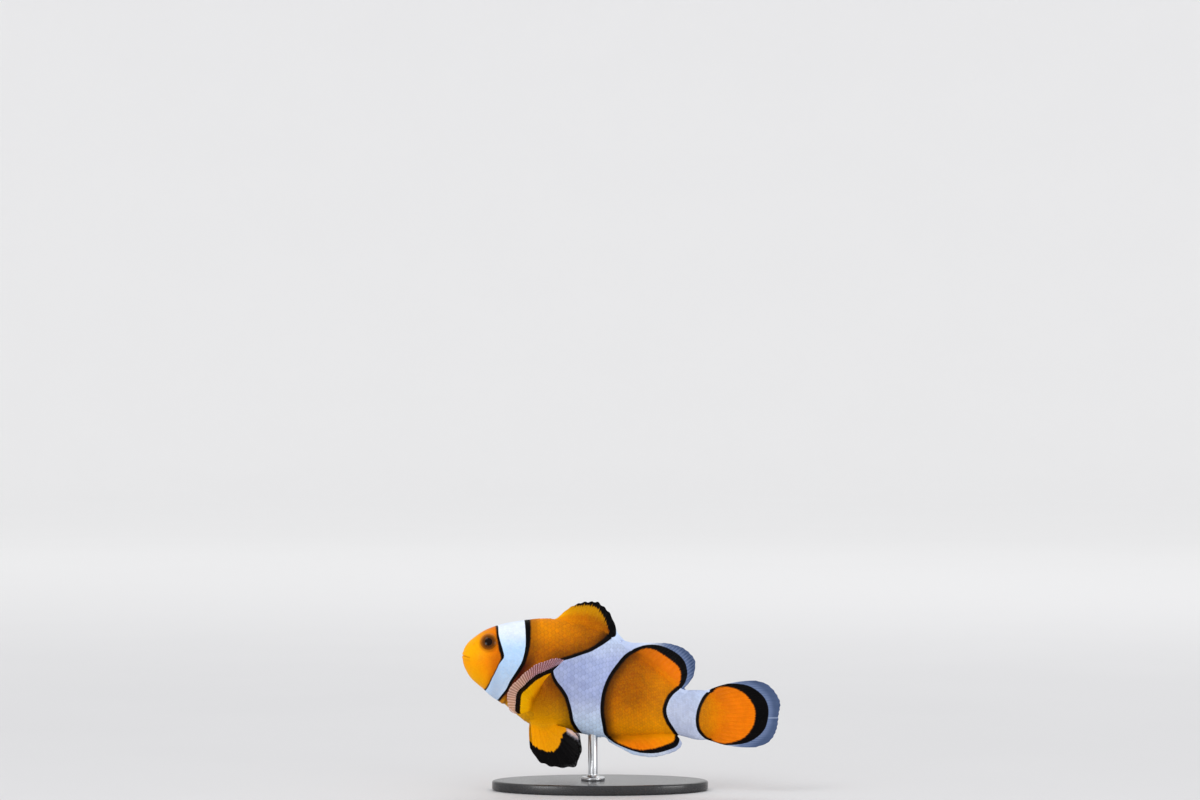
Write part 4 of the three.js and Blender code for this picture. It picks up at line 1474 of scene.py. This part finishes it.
def floor_material():
    """A matt pale grey that turns white far away: painted darker near the fish, where the lamps light it
    most, so that it looks evenly bright.
    """
    m = Material("floor")
    away = m.nodes.new("ShaderNodeVectorMath")
    away.operation = "LENGTH"
    m.links.new(m.where, away.inputs[0])
    pale = m.mix(srgb(212, 212, 214), srgb(249, 249, 250), m.ramp(away.outputs["Value"], 0.2, 1.4))
    pale = m.mix(pale, srgb(236, 236, 237), m.ramp(m.noise(90), 0.3, 0.7, 0, 0.05))
    m.set(base_color=pale, roughness=0.8)
    return m.data


# ---- The fish ----------------------------------------------------------------------------------


def finish_piece(piece, slot, *nodes):
    """Ties a piece to the frame in place of some nodes."""
    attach(piece, "root")
    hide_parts(*nodes)


skin = make_skin()
skin.data.materials.append(skin_material("skin"))
skin.data.materials.append(skin_material("fin_rim", see_through=True))
assign_rims(skin.data)
finish_piece(
    skin, "skin", "head", "trunk", "tail_stalk", "fin_dorsal_spiny", "fin_dorsal_soft", "fin_anal",
    "fin_caudal", "fin_pectoral_left", "fin_pectoral_right", "fin_pelvic_left", "fin_pelvic_right",
)

scale_finish = skin_material("scales", scaled=True)
for label, side in (("scales_left", 1), ("scales_right", -1)):
    scales = make_scales(label, side)
    scales.data.materials.append(scale_finish)
    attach(scales, "root")

eye_finish = eye_material()
for label, node, side in (("eyeball_left", "eye_left", 1), ("eyeball_right", "eye_right", -1)):
    eye = make_eye(label, side)
    eye.data.materials.append(eye_finish)
    finish_piece(eye, "eye", node)

base = make_base()
base.data.materials.append(acrylic_material())
finish_piece(base, "stand_base", "stand_base")
rod = make_rod()
rod.data.materials.append(steel_material())
finish_piece(rod, "stand_rod", "stand_rod")

# ---- Studio ------------------------------------------------------------------------------------

CAMERA = {"distance": 0.833, "height": 0.0975, "lens": 99.96, "sensor": 36}
FLOOR = {"flat": 2400, "cove": 600, "wall": 700, "sides": 96}
LIGHTS = {  # place in metres, width and power of each
    "key": ((0.55, -0.5, 0.8), 0.45, 1.9),
    "fill": ((0.6, 0.7, 0.1), 0.4, 2),
    "low": ((0.7, -0.45, 0.09), 0.3, 1.4),
    "back": ((-0.7, 0.2, 0.8), 0.6, 1.6),
}
LIT_PLACE = (0, 0, 0.03)
SURROUND = 0.85  # strength of the white light from all round


def make_camera():
    """The photo's view: level, from the fish's left."""
    data = bpy.data.cameras.new("camera")
    data.lens = CAMERA["lens"]
    data.sensor_width = CAMERA["sensor"]
    data.clip_start = 0.01
    camera = bpy.data.objects.new("camera", data)
    camera.location = (CAMERA["distance"], 0, CAMERA["height"])
    camera.rotation_euler = (math.radians(90), 0, math.radians(90))
    bpy.context.scene.collection.objects.link(camera)
    bpy.context.scene.camera = camera


def make_floor():
    """A pale floor that curves up all round into a low wall."""
    flat, cove, sides = FLOOR["flat"], FLOOR["cove"], FLOOR["sides"]
    profile = [(200, 0), (700, 0), *arc((flat, cove), cove, -90, 0, 16), (flat + cove, FLOOR["wall"])]
    points = np.vstack([turned(profile, sides).reshape(-1, 3), (0, 0, 0)])
    faces = [closed_quads(len(profile), sides), fan(len(points) - 1, np.arange(sides))]
    floor = make_object("floor", points, faces)
    floor.data.materials.append(floor_material())


def make_lights():
    """Discs of light aimed at the fish, which the camera doesn't see, and a white surround."""
    for name, (location, size, power) in LIGHTS.items():
        data = bpy.data.lights.new(name, "AREA")
        data.shape = "DISK"
        data.size = size
        data.energy = power
        light = bpy.data.objects.new(name, data)
        light.location = location
        aim = Vector(LIT_PLACE) - Vector(location)
        light.rotation_euler = aim.to_track_quat("-Z", "Y").to_euler()
        light.visible_camera = False
        bpy.context.scene.collection.objects.link(light)
    world = bpy.data.worlds.new("studio")
    world.use_nodes = True
    background = world.node_tree.nodes["Background"].inputs
    background["Color"].default_value = (1, 1, 1, 1)
    background["Strength"].default_value = SURROUND
    bpy.context.scene.world = world


make_camera()
make_floor()
make_lights()
bpy.context.scene.view_settings.view_transform = "Standard"
